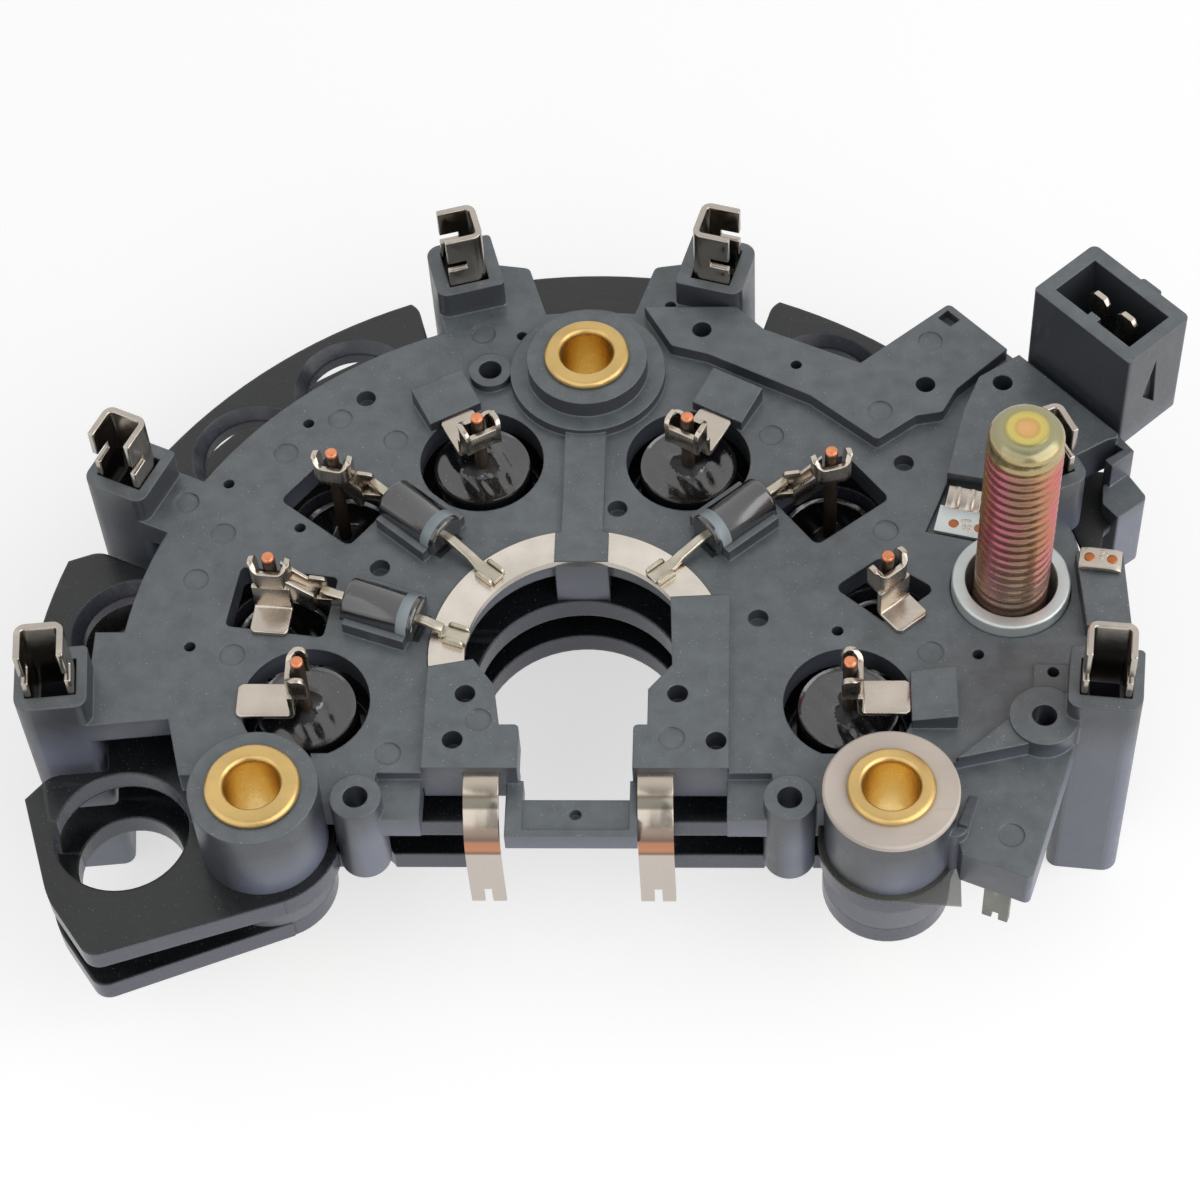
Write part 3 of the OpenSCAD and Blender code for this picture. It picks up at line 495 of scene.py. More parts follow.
def set_dots(name: str, spots: Sequence[Vector], radius: float, finish: Material) -> None:
    """Sets a flattened ball on each spot by Geometry Nodes, and joins the plain mesh to the part.

    Args:
        name: Name of the tree and of the piece.
        spots: Places, in millimetres.
        radius: Radius of a ball.
        finish: Its material.
    """
    wiring = Wiring(bpy.data.node_groups.new(name, "GeometryNodeTree"))
    sockets = wiring.tree.interface
    for way in ("INPUT", "OUTPUT"):
        sockets.new_socket("Geometry", in_out=way, socket_type="NodeSocketGeometry")
    size = sockets.new_socket("Point radius", in_out="INPUT", socket_type="NodeSocketFloat")
    given = wiring.node("NodeGroupInput", {}).outputs
    sphere = {"Radius": given["Point radius"], "Segments": 24, "Rings": 10}
    steps = (("MeshUVSphere", sphere), ("Transform", {"Scale": (1.0, 1.0, 0.25)}),
             ("InstanceOnPoints", {"Points": given["Geometry"]}), ("RealizeInstances", {}),
             ("SetMaterial", {"Material": finish}))
    made: Optional[Socket] = None
    for kind, inputs in steps:
        node = wiring.node("GeometryNode" + kind, inputs)
        if made is not None:
            wiring.feed(node.inputs["Instance" if "Points" in inputs else "Geometry"], made)
        made = node.outputs[0]
    wiring.node("NodeGroupOutput", {"Geometry": made})
    mesh = bpy.data.meshes.new(name)
    mesh.from_pydata([spot * MM for spot in spots], [], [])
    piece = placed(name, mesh)
    grow = piece.modifiers.new(name, "NODES")
    grow.node_group = wiring.tree
    grow[size.identifier] = radius * MM
    settle(piece)
    piece.data.polygons.foreach_set("use_smooth", [True] * len(piece.data.polygons))
    seat(piece, Slot.COPPER)


# Finishes


# Values that a noise mostly lies between
NOISE_ENDS = (0.3, 0.7)
# Least and greatest roughness, as shares of a finish's own
ROUGH_ENDS = (0.8, 1.2)
# Upright share of a surface's direction where a top ends, and where a wall is full
WALL_ENDS = (0.9, 0.6)
BUMP_STRENGTH = 0.6
COAT_ROUGHNESS = 0.12
# Share of a tint that is laid over a metal's own colour
TINT_SHARE = 0.85


class Effect(Wiring):
    """A shader node group that several finishes share."""

    def __init__(self, name: str, inputs: dict[str, Any], **outputs: str) -> None:
        """Starts the group.

        Args:
            name: Name of the group.
            inputs: Default value of each named input: a number or a colour.
            outputs: Kind of each named output: Float, Color or Vector.
        """
        super().__init__(bpy.data.node_groups.new(name, "ShaderNodeTree"))
        sockets = self.tree.interface
        for label, value in inputs.items():
            kind = "NodeSocketFloat" if isinstance(value, float) else "NodeSocketColor"
            sockets.new_socket(label, in_out="INPUT", socket_type=kind).default_value = value
        for label, kind in outputs.items():
            sockets.new_socket(label, in_out="OUTPUT", socket_type="NodeSocket" + kind)
        self.given = self.node("NodeGroupInput", {}).outputs

    def done(self, **outputs: Socket) -> Tree:
        """Links the outputs and gives the group's tree."""
        self.node("NodeGroupOutput", outputs)
        return self.tree


def colour_drift() -> Tree:
    """Builds the effect of a slow change of brightness over a surface.

    Returns:
        The group's tree.
    """
    fx = Effect("colour_drift", {"Color": (0.5, 0.5, 0.5, 1.0), "Amount": 0.1, "Scale": 60.0}, Color="Color")
    ends = [fx.math(way, 1.0, fx.given["Amount"]) for way in ("SUBTRACT", "ADD")]
    value = fx.span(fx.noise(fx.place(), fx.given["Scale"], 5.0), *NOISE_ENDS, *ends)
    shade = fx.node("ShaderNodeHueSaturation", {"Color": fx.given["Color"], "Value": value})
    return fx.done(Color=shade.outputs["Color"])


def surface_grain() -> Tree:
    """Builds the height of a fine grain on top of a slow swell.

    Returns:
        The group's tree.
    """
    fx = Effect("surface_grain", {"Fine": 2500.0, "Swell": 200.0, "Share": 0.4}, Height="Float")
    fine, swell = fx.noise(fx.place(), fx.given["Fine"], 2.0), fx.noise(fx.place(), fx.given["Swell"], 1.0)
    return fx.done(Height=fx.node("ShaderNodeMix", {0: fx.given["Share"], 2: fine, 3: swell}).outputs[0])


def edge_wear() -> Tree:
    """Builds rounded edges, and a mask of where an edge is rubbed.

    Returns:
        The group's tree.
    """
    fx = Effect("edge_wear", {"Radius": 0.00025, "Gain": 2.0}, Mask="Float", Normal="Vector")
    soft = fx.node("ShaderNodeBevel", {"Radius": fx.given["Radius"]}, samples=6).outputs["Normal"]
    lean = fx.math("SUBTRACT", 1.0, fx.vector("DOT_PRODUCT", soft, fx.normal(), "Value"))
    patchy = fx.math("MULTIPLY", lean, fx.noise(fx.place(), 700.0, 3.0))
    return fx.done(Mask=fx.math("MULTIPLY", patchy, fx.given["Gain"], True), Normal=soft)


def settled_dust() -> Tree:
    """Builds a mask of specks of dust on what faces up.

    Returns:
        The group's tree.
    """
    fx = Effect("settled_dust", {"Scale": 4600.0, "Level": 0.72}, Mask="Float")
    level = fx.given["Level"]
    speck = fx.span(fx.noise(fx.place(), fx.given["Scale"], 1.0), level, fx.math("ADD", level, 0.05))
    return fx.done(Mask=fx.math("MULTIPLY", speck, fx.upward(fx.normal()), True))


def fine_scuffs() -> Tree:
    """Builds a mask of thin rubbed lines that run along one way.

    Returns:
        The group's tree.
    """
    fx = Effect("fine_scuffs", {"Scale": 90.0, "Level": 0.62}, Mask="Float")
    level, stretch = fx.given["Level"], {"Rotation": (0.2, 0.1, 0.7), "Scale": (1.0, 9.0, 2.0)}
    long = fx.node("ShaderNodeMapping", {"Vector": fx.place(), **stretch}).outputs[0]
    return fx.done(Mask=fx.span(fx.noise(long, fx.given["Scale"], 4.0), level, fx.math("ADD", level, 0.12)))


DRIFT, GRAIN, EDGES = colour_drift(), surface_grain(), edge_wear()
DUST, SCUFFS = settled_dust(), fine_scuffs()
DUST_GREY = srgb(205, 205, 205)


@dataclass(frozen=True)
class Finish:
    """A finish with a base colour, and the wear that the real one shows in the colour of its edges."""

    name: str
    colour: Colour
    roughness: float
    metal: float = 0.0
    drift: float = 0.12
    drift_scale: float = 60.0
    grain: float = 0.02
    grain_fine: float = 2500.0
    grain_swell: float = 250.0
    grain_share: float = 0.4
    round_edge: float = 0.0
    wear: float = 0.0
    dust: float = 0.0
    scuff: float = 0.0
    coat: float = 0.0
    gloss: float = 0.5
    alpha: float = 1.0
    edge: Optional[Colour] = None
    # Colour laid on upright faces: painted light and shade, not a colour of the material
    wall: Optional[Colour] = None

    def make(self) -> Material:
        """Builds the material.

        Returns:
            The material.
        """
        material = bpy.data.materials.new(self.name)
        material.use_nodes = True
        wiring = Wiring(material.node_tree)
        mix, group = wiring.mix, wiring.group
        colour = group(DRIFT, Color=(*self.colour, 1.0), Amount=self.drift, Scale=self.drift_scale)["Color"]
        # Upright faces take the wall colour: painted shade on the moulding, a painted reflection on the black
        # plates
        if self.wall:
            slope = wiring.math("ABSOLUTE", wiring.upward(wiring.normal()))
            colour = mix(wiring.span(slope, *WALL_ENDS), colour, self.wall)
        grain = group(GRAIN, Fine=self.grain_fine, Swell=self.grain_swell, Share=self.grain_share)["Height"]
        relief = {"Height": grain, "Strength": BUMP_STRENGTH, "Distance": self.grain * MM}
        bump = wiring.node("ShaderNodeBump", relief)
        if self.round_edge:
            edges = group(EDGES, Radius=self.round_edge * MM)
            wiring.feed(bump.inputs["Normal"], edges["Normal"])
            colour = mix(wiring.math("MULTIPLY", edges["Mask"], self.wear, True), colour, self.edge)
        for effect, amount, over in ((SCUFFS, self.scuff, self.edge), (DUST, self.dust, DUST_GREY)):
            if amount:
                colour = mix(wiring.math("MULTIPLY", group(effect)["Mask"], amount, True), colour, over)
        rough = wiring.span(grain, *NOISE_ENDS, *(self.roughness * share for share in ROUGH_ENDS))
        values = {"Base Color": self.tinted(wiring, colour), "Roughness": rough,
                  "Normal": bump.outputs["Normal"], "Metallic": self.metal, "Specular IOR Level": self.gloss,
                  "Coat Weight": self.coat, "Coat Roughness": COAT_ROUGHNESS, "Alpha": self.alpha}
        for label, value in values.items():
            wiring.feed(material.node_tree.nodes["Principled BSDF"].inputs[label], value)
        return material

    def tinted(self, wiring: Wiring, base: Socket) -> Socket:
        """Gives the colour with what only one finish lays over it: here nothing."""
        return base


@dataclass(frozen=True)
class PassivatedZinc(Finish):
    """Yellow zinc: orange, pink and olive around the stud, greyer at its foot, with rings on the point."""

    axis: Plan = (44.3, 8.1)
    point: float = 40.9
    tip: Plan = (2.4, 0.8)
    tip_r: float = 4.0
    foot: Plan = (27.0, 16.0)
    foot_share: float = 0.75
    worn: Colour = srgb(166, 150, 134)
    sway: float = 0.05
    bloom: Stops = (
        (0.0, srgb(196, 146, 90)), (0.06, srgb(192, 116, 100)), (0.12, srgb(180, 92, 112)),
        (0.18, srgb(158, 94, 106)), (0.25, srgb(136, 108, 86)), (0.31, srgb(158, 116, 84)),
        (0.38, srgb(190, 108, 96)), (0.45, srgb(188, 96, 112)), (0.53, srgb(184, 122, 94)),
        (0.75, srgb(188, 112, 102)), (1.0, srgb(196, 146, 90)))
    rings: Stops = (
        (0.0, srgb(224, 176, 120)), (0.20, srgb(222, 172, 112)), (0.28, srgb(200, 168, 100)),
        (0.36, srgb(214, 194, 108)), (0.47, srgb(204, 190, 112)), (0.55, srgb(164, 154, 104)),
        (0.64, srgb(162, 158, 126)), (0.84, srgb(156, 148, 114)), (0.95, srgb(184, 162, 114)))

    def tinted(self, wiring: Wiring, base: Socket) -> Socket:
        """Lays the bloom, the worn foot and the point's rings over the base colour.

        Args:
            wiring: The material's nodes.
            base: Its colour so far.

        Returns:
            The colour's socket.
        """
        place = wiring.place()
        height = wiring.upward(place)
        apart = wiring.vector("SUBTRACT", place, (self.axis[0] * MM, self.axis[1] * MM, 0.0))
        around = wiring.node("ShaderNodeTexGradient", {"Vector": apart}, gradient_type="RADIAL")
        sway = wiring.span(wiring.noise(place, 260.0, 3.0), *NOISE_ENDS, -self.sway, self.sway)
        bloom = wiring.ramp(wiring.math("ADD", around.outputs["Fac"], sway, True), self.bloom)
        low = wiring.span(height, self.foot[0] * MM, self.foot[1] * MM, 0.0, self.foot_share)
        thread = wiring.mix(low, wiring.mix(TINT_SHARE, base, bloom), self.worn)
        radius = wiring.vector("LENGTH", wiring.vector("MULTIPLY", apart, (1.0, 1.0, 0.0)), give="Value")
        rings = wiring.ramp(wiring.span(radius, 0.0, self.tip_r * MM), self.rings)
        tip = wiring.span(height, (self.point - self.tip[0]) * MM, (self.point - self.tip[1]) * MM)
        return wiring.mix(tip, thread, rings)


@dataclass(frozen=True)
class BentNickel(Finish):
    """Nickel banded by height: partly heat tint, partly painted reflections and shade at the bends."""

    heights: Plan = (-0.5, 15.7)
    # Heat tint, with painted reflections: brown bands and dark lines where the bends face dark things
    heat_tints_and_painted_reflections: Stops = (
        (9.2, srgb(196, 187, 178)), (9.5, srgb(112, 78, 58)), (10.0, srgb(190, 124, 86)),
        (11.0, srgb(180, 114, 80)), (11.35, srgb(96, 76, 66)), (11.8, srgb(124, 104, 92)),
        (12.4, srgb(152, 132, 114)), (13.1, srgb(200, 188, 174)), (14.2, srgb(206, 196, 182)),
        (14.4, srgb(110, 105, 94)), (14.95, srgb(110, 107, 94)), (15.12, srgb(84, 70, 60)),
        (15.28, srgb(188, 176, 160)))

    def tinted(self, wiring: Wiring, base: Socket) -> Socket:
        """Lays the heat tint and painted reflections across the strip by height.

        Args:
            wiring: The material's nodes.
            base: Its colour so far.

        Returns:
            The colour's socket.
        """
        low, high = self.heights
        share = wiring.span(wiring.upward(wiring.place()), low * MM, high * MM)
        stops = [((z - low) / (high - low), colour) for z, colour in self.heat_tints_and_painted_reflections]
        return wiring.mix(TINT_SHARE, base, wiring.ramp(share, stops))


@dataclass(frozen=True)
class MouldedPlastic(Finish):
    """Filled plastic, with painted shade on its walls and painted lavender light on the low walls that face
    the front right.
    """

    # Painted light: lavender laid on low walls that face the front right, standing in for the light and
    # reflections they catch
    painted_sheen: Colour = srgb(104, 109, 124)
    toward: Space = (0.75, -0.66, 0.0)
    facing: Plan = (0.2, 0.75)
    fade: Plan = (16.6, 11.0)

    def tinted(self, wiring: Wiring, base: Socket) -> Socket:
        """Lays the painted lavender light over the walls under the sheet's top.

        Args:
            wiring: The material's nodes.
            base: Its colour so far.

        Returns:
            The colour's socket.
        """
        toward = wiring.vector("DOT_PRODUCT", wiring.normal(), self.toward, "Value")
        facing = wiring.span(toward, *self.facing)
        low = wiring.span(wiring.upward(wiring.place()), self.fade[0] * MM, self.fade[1] * MM)
        return wiring.mix(wiring.math("MULTIPLY", facing, low), base, self.painted_sheen)


# Its wall colour is painted shade: upright faces are dark, so that holes and recesses read dark
MOULDED = MouldedPlastic("moulded_grey", srgb(80, 87, 91), 0.4, drift=0.24, drift_scale=480.0, grain=0.022,
                         grain_fine=2600.0, grain_swell=420.0, round_edge=0.28, wear=0.4, dust=0.4,
                         scuff=0.18, gloss=1.0, edge=srgb(112, 116, 122), wall=srgb(48, 51, 57))
# Its lighter lavender wall colour is a painted reflection of the bright floor on the plates' upright faces
BLACK_COAT = Finish("black_coat", srgb(20, 22, 24), 0.28, drift=0.45, drift_scale=110.0, grain=0.035,
                    grain_fine=1400.0, grain_swell=420.0, round_edge=0.4, wear=0.5, dust=0.25, scuff=0.1,
                    gloss=0.6, edge=srgb(120, 122, 132), wall=srgb(73, 75, 87))
# Black sheet on the duct floor: painted shade, where the duct is deep and dark
DUCT_SHADE = Finish("painted_duct_shade", srgb(16, 17, 19), 0.5, drift=0.2, dust=0.1, scuff=0.05, edge=srgb(40, 41, 44))
NICKEL = Finish("warm_nickel", srgb(192, 182, 170), 0.27, 1.0, drift_scale=220.0, grain=0.003,
                grain_swell=700.0, scuff=0.3, edge=srgb(218, 210, 198))
RING_NICKEL = replace(NICKEL, name="ring_nickel", colour=srgb(214, 206, 195))
DULL_NICKEL = replace(NICKEL, name="dull_nickel", colour=srgb(118, 119, 112), roughness=0.4)
# Its bands are partly heat tint, partly painted reflections and shade
STRIP_NICKEL = BentNickel("bent_nickel", srgb(196, 187, 176), 0.24, 1.0, 0.06, 220.0, grain=0.005,
                          grain_swell=700.0, scuff=0.15, edge=srgb(222, 214, 202))
CLIP_NICKEL = replace(NICKEL, name="clip_nickel", colour=srgb(180, 172, 162), edge=srgb(222, 212, 196),
                      roughness=0.22, drift=0.10, drift_scale=240.0, grain=0.006)
BRASS = Finish("turned_brass", srgb(208, 176, 114), 0.36, 0.9, drift_scale=240.0, grain=0.014,
               grain_fine=3600.0, grain_swell=600.0, scuff=0.2, edge=srgb(238, 214, 156))
# Paler, brighter brass for the inside of the bores: painted light, standing in for the glow that light makes
# in them
LIT_BORE_BRASS = Finish("bore_brass_painted_light", srgb(246, 214, 136), 0.3, 1.0, 0.06, 200.0, grain=0.006, grain_swell=600.0,
                    scuff=0.1, edge=srgb(250, 226, 166))
COPPER = Finish("bare_copper", srgb(228, 146, 106), 0.34, 0.8, 0.16, 800.0, grain=0.01, grain_swell=900.0)
WELD_COPPER = replace(COPPER, name="weld_copper", colour=srgb(176, 104, 58), metal=0.6)
# Tinned lower part of the leads, made dark: painted shade of the windows they stand in
SHADED_LEAD = Finish("shaded_tinned_lead", srgb(88, 74, 64), 0.42, 0.8, 0.2, 500.0, grain=0.012, grain_swell=900.0)
STUD_ZINC = PassivatedZinc("passivated_stud", srgb(182, 126, 104), 0.25, 0.75, 0.14, 300.0, grain=0.008,
                           grain_swell=700.0)
SLEEVE_ZINC = Finish("bright_zinc", srgb(200, 205, 204), 0.42, 0.7, 0.10, 150.0, grain=0.01,
                     grain_swell=500.0, scuff=0.2, edge=srgb(222, 226, 226))
POTTING = Finish("black_potting", srgb(17, 18, 21), 0.17, drift=0.3, drift_scale=300.0, grain=0.09,
                 grain_fine=1300.0, grain_swell=420.0, grain_share=0.45, coat=0.6, gloss=1.0, dust=0.3)
LUMP = Finish("matt_potting", srgb(9, 9, 10), 0.5, drift=0.3, drift_scale=500.0, grain=0.08,
              grain_fine=1500.0)
EPOXY = Finish("diode_epoxy", srgb(30, 31, 34), 0.2, drift=0.14, drift_scale=200.0, grain=0.012,
               grain_fine=1800.0, coat=0.8, gloss=1.0, dust=0.25)
BAND = Finish("diode_band", srgb(140, 150, 155), 0.45, drift=0.14, drift_scale=400.0, grain=0.015)
WIRE = Finish("tinned_wire", srgb(190, 182, 166), 0.3, 1.0, 0.16, 400.0, grain=0.012, grain_swell=900.0)
FIBRE = Finish("fibre_board", srgb(200, 188, 177), 0.7, drift=0.10, drift_scale=150.0, grain=0.03,
               grain_fine=1800.0, grain_swell=600.0, round_edge=0.15, wear=0.3, scuff=0.3,
               edge=srgb(168, 148, 138))
FILM = Finish("smoky_film", srgb(104, 103, 98), 0.3, drift=0.2, drift_scale=120.0, alpha=0.55)
SPACER = Finish("plain_spacer", srgb(110, 112, 120), 0.5, round_edge=0.2, wear=0.4, edge=srgb(150, 150, 156))


# Sub-assemblies


@dataclass
class HeatSinks:
    """The two plates and the rings between them."""

    plates: tuple[str, ...] = ("lower_heat_sink", "upper_heat_sink")
    rings: tuple[str, ...] = ("spacer_rear", "spacer_left", "spacer_right")

    def dress(self) -> None:
        """Coats the plates black and the rings grey."""
        coat(BLACK_COAT.make(), *self.plates)
        coat(SPACER.make(), *self.rings)


@dataclass
class Moulding:
    """The terminal moulding, and a black sheet of painted shade on the floor of its wire duct."""

    node: str = "terminal_moulding"
    duct_shade: tuple[Plan, ...] = ((51.2, 22.5), (51.6, 19.0), (52.4, 16.4), (54.4, 16.2), (54.9, 18.8),
                               (56.3, 20.5), (57.0, 25.0), (55.9, 26.4), (53.0, 26.7))
    duct_shade_z: Plan = (10.3, 10.95)

    def dress(self) -> None:
        """Gives the moulding its grey finish and lays the black sheet of painted shade in the duct."""
        coat(MOULDED.make(), self.node)
        # A black sheet on the duct floor, as painted shade
        shape = Shape("duct_painted_shade")
        shape.prism(self.duct_shade, *self.duct_shade_z)
        shape.make([DUCT_SHADE.make()], Slot.MOULDING, bevel=0.15, angle=25)


@dataclass
class Bushes:
    """Brass eyelets through the posts, and the fibre washer and film of the right one."""

    circle_r: float = 36.25
    angles: tuple[float, ...] = (90.0, 210.0, 330.0)
    names: tuple[str, ...] = ("rear", "left", "right")
    bore_r: float = 2.75
    wall: float = 0.85
    flange_rs: tuple[float, ...] = (4.6, 4.8, 4.4)
    flange_t: float = 0.9
    flange_fall: float = 0.12
    lip: Plan = (0.55, 0.9)
    edge_r: float = 0.6
    foot_edge: float = 0.2
    washer_r: float = 6.75
    washer_t: float = 0.9

    def eyelet(self, rim: float) -> list[Plan]:
        """Gives the turned profile of one eyelet, rolled over at its top.

        Args:
            rim: Radius of its flange.

        Returns:
            Radius and height of the profile's points.
        """
        top, outer = LEVELS.post + self.flange_t, self.bore_r + self.wall
        edge, foot = self.edge_r, self.foot_edge
        roll = arc((self.bore_r + self.lip[0], top - self.lip[1]), self.lip, 180, 90, 8)
        fall = arc((rim - edge, top - self.flange_fall - edge), edge, 90, 0)
        return [(self.bore_r, 0.3), *roll, *fall, (outer, LEVELS.post), (outer, foot), (outer - foot, 0.0),
                (self.bore_r + foot, 0.0)]

    def dress(self) -> None:
        """Turns the eyelets and the washer, and finishes the film."""
        finishes = [BRASS.make(), LIT_BORE_BRASS.make()]
        for angle, name, rim in zip(self.angles, self.names, self.flange_rs):
            shape, profile = Shape(f"eyelet_{name}"), self.eyelet(rim)
            place = turned(polar(self.circle_r, angle))
            # The bore's inside takes the paler brass of painted light
            inside = [int(r < self.bore_r + 0.15 and z < LEVELS.post + 0.3) for r, z in profile]
            shape.lathe(profile, place, 72, True, lambda band, _: inside[band])
            shape.make(finishes, Slot.BRASS, f"bush_{name}")
        washer = Shape("washer_ring")
        hole, r = self.bore_r + self.wall + 0.1, self.washer_r
        low, top = LEVELS.post - self.washer_t, LEVELS.post - CLEAR
        washer.lathe([(hole, low), (hole, top), (r - 0.2, top), (r, top - 0.18), (r, low + 0.15),
                      (r - 0.15, low)], place, 96, True)
        washer.make([FIBRE.make()], Slot.FIBRE, "fibre_washer", angle=40)
        coat(FILM.make(), "insulating_film")


@dataclass
class PressDiodes:
    """The eight potted diodes in their plates, and their copper leads."""

    positives: tuple[Plan, ...] = ((-11, 24.7), (11, 24.7), (-27.5, -6), (27.5, -6))
    negatives: tuple[Plan, ...] = ((-26, 20.1), (26, 20.1), (-31.5, 6.8), (31.5, 6.8))
    seeds: tuple[int, int] = (11, 31)
    press_r: float = 6.0
    cup_r: float = 5.2
    cup_edge: float = 0.12
    press_edge: Plan = (0.28, 0.3)
    dish_rs: Plan = (3.4, 3.6)
    dish_h: float = 0.5
    cup_rise: float = 6.0
    plate_t: float = 2.6
    lead_r: float = 0.7
    steps: int = 72
    lump_r: float = 1.5
    lump_rise: float = 0.7
    matt_rim: float = 0.2
    lip: Plan = (0.3, 0.35)
    sunk: float = 0.65
    lump_waves: tuple[Plan, ...] = ((0.3, 2), (0.25, 3), (0.1, 5))

    def potting(self, name: str, at: Plan, bottom: float, seed: int) -> Shape:
        """Shapes one diode with a wavy potted top and a lump around its lead.

        Args:
            name: Name of the piece.
            at: Place in plan.
            bottom: Height of its underside.
            seed: Number that sets its waves.

        Returns:
            The shape.
        """
        shape, rim, press, cup = Shape(name), bottom + self.plate_t, self.press_r - CLEAR, self.cup_r
        top, radii = rim + self.cup_rise, np.linspace(cup - self.cup_edge, 0.0, 26)
        (inner, outer), dish, (cut, rise) = self.dish_rs, bottom + self.dish_h, self.press_edge
        side = [(0.0, dish), (inner, dish), (outer, bottom), (press - cut, bottom), (press, bottom + rise),
                (press, rim), (cup, rim), (cup, top - 0.6), (cup - self.cup_edge, top - 0.35)]
        shape.lathe(side, turned(at), self.steps)
        phase = np.random.default_rng(seed).uniform(0, 2 * math.pi, 6)

        def lump_r(a: float) -> float:
            """Gives the radius of the lump around the lead."""
            waves = zip(self.lump_waves, phase)
            return self.lump_r + sum(high * math.sin(n * a + turn) for (high, n), turn in waves)

        def surface(r: float, _: float, a: float) -> Plan:
            """Gives the form of the potting, with its lip, its waves and the lump.

            Args:
                r: Radius of the point.
                _: Height in the profile, which isn't used.
                a: Angle of the point.

            Returns:
                The radius and the height.
            """
            lip = self.lip[0] * math.exp(-((cup - r) / self.lip[1]) ** 2)
            lump = self.lump_rise / (1 + (r / lump_r(a)) ** 4)
            x, y = r * math.cos(a), r * math.sin(a)
            wave = 0.05 * math.sin(1.3 * x + phase[3]) * math.sin(1.1 * y + phase[4])
            wave += 0.08 * math.sin(3.1 * x + 1.7 * y + phase[5]) * math.exp(-((r - 2.8) / 1.2) ** 2)
            return r, top - self.sunk + lip + (lump + wave) * min(1.0, (cup - r) / 0.6)
        shape.lathe([(r, top) for r in radii], turned(at), self.steps,
                    mark=lambda band, a: int(radii[band] < lump_r(a) + self.matt_rim), form=surface)
        return shape

    def dress(self) -> None:
        """Pots the diodes and sets their leads."""
        black, lead = [POTTING.make(), LUMP.make()], [SHADED_LEAD.make(), COPPER.make()]
        rows = ((self.positives, "positive", LEVELS.upper_bottom), (self.negatives, "negative", 0.0))
        for (places, kind, bottom), seed in zip(rows, self.seeds):
            for i, at in enumerate(places):
                shape = self.potting(f"{kind}_potting_{i + 1}", at, bottom, seed + i)
                shape.make(black, Slot.POTTING, f"{kind}_diode_{i + 1}", angle=40)
        tip, r = LEVELS.lead - 0.3, self.lead_r
        for i, at in enumerate(self.positives + self.negatives):
            foot = (LEVELS.upper_top if i < len(self.positives) else LEVELS.lower_top) + self.cup_rise - 0.8
            shape = Shape(f"copper_lead_{i + 1}")
            profile = [(0, foot), (r, foot), (r, tip - 0.9), (r - 0.03, tip - 0.35), (r - 0.05, tip - 0.12),
                       (r - 0.15, tip), (0, tip + 0.03)]
            # The lower bands take the dark tinned finish of painted shade, the top the copper
            shape.lathe(profile, turned(at), 28, mark=lambda band, _: int(band > 2))
            shape.make(lead, Slot.COPPER, f"diode_lead_{i + 1}")


@dataclass(frozen=True)
class Tab:
    """One sheet tab: its lead, the turn of its foot, the foot's reach and lift, and where its arm ends."""

    lead: Plan
    turn: float
    reach: float
    lift: float
    far_web: bool = False
    arm_end: Optional[Plan] = None


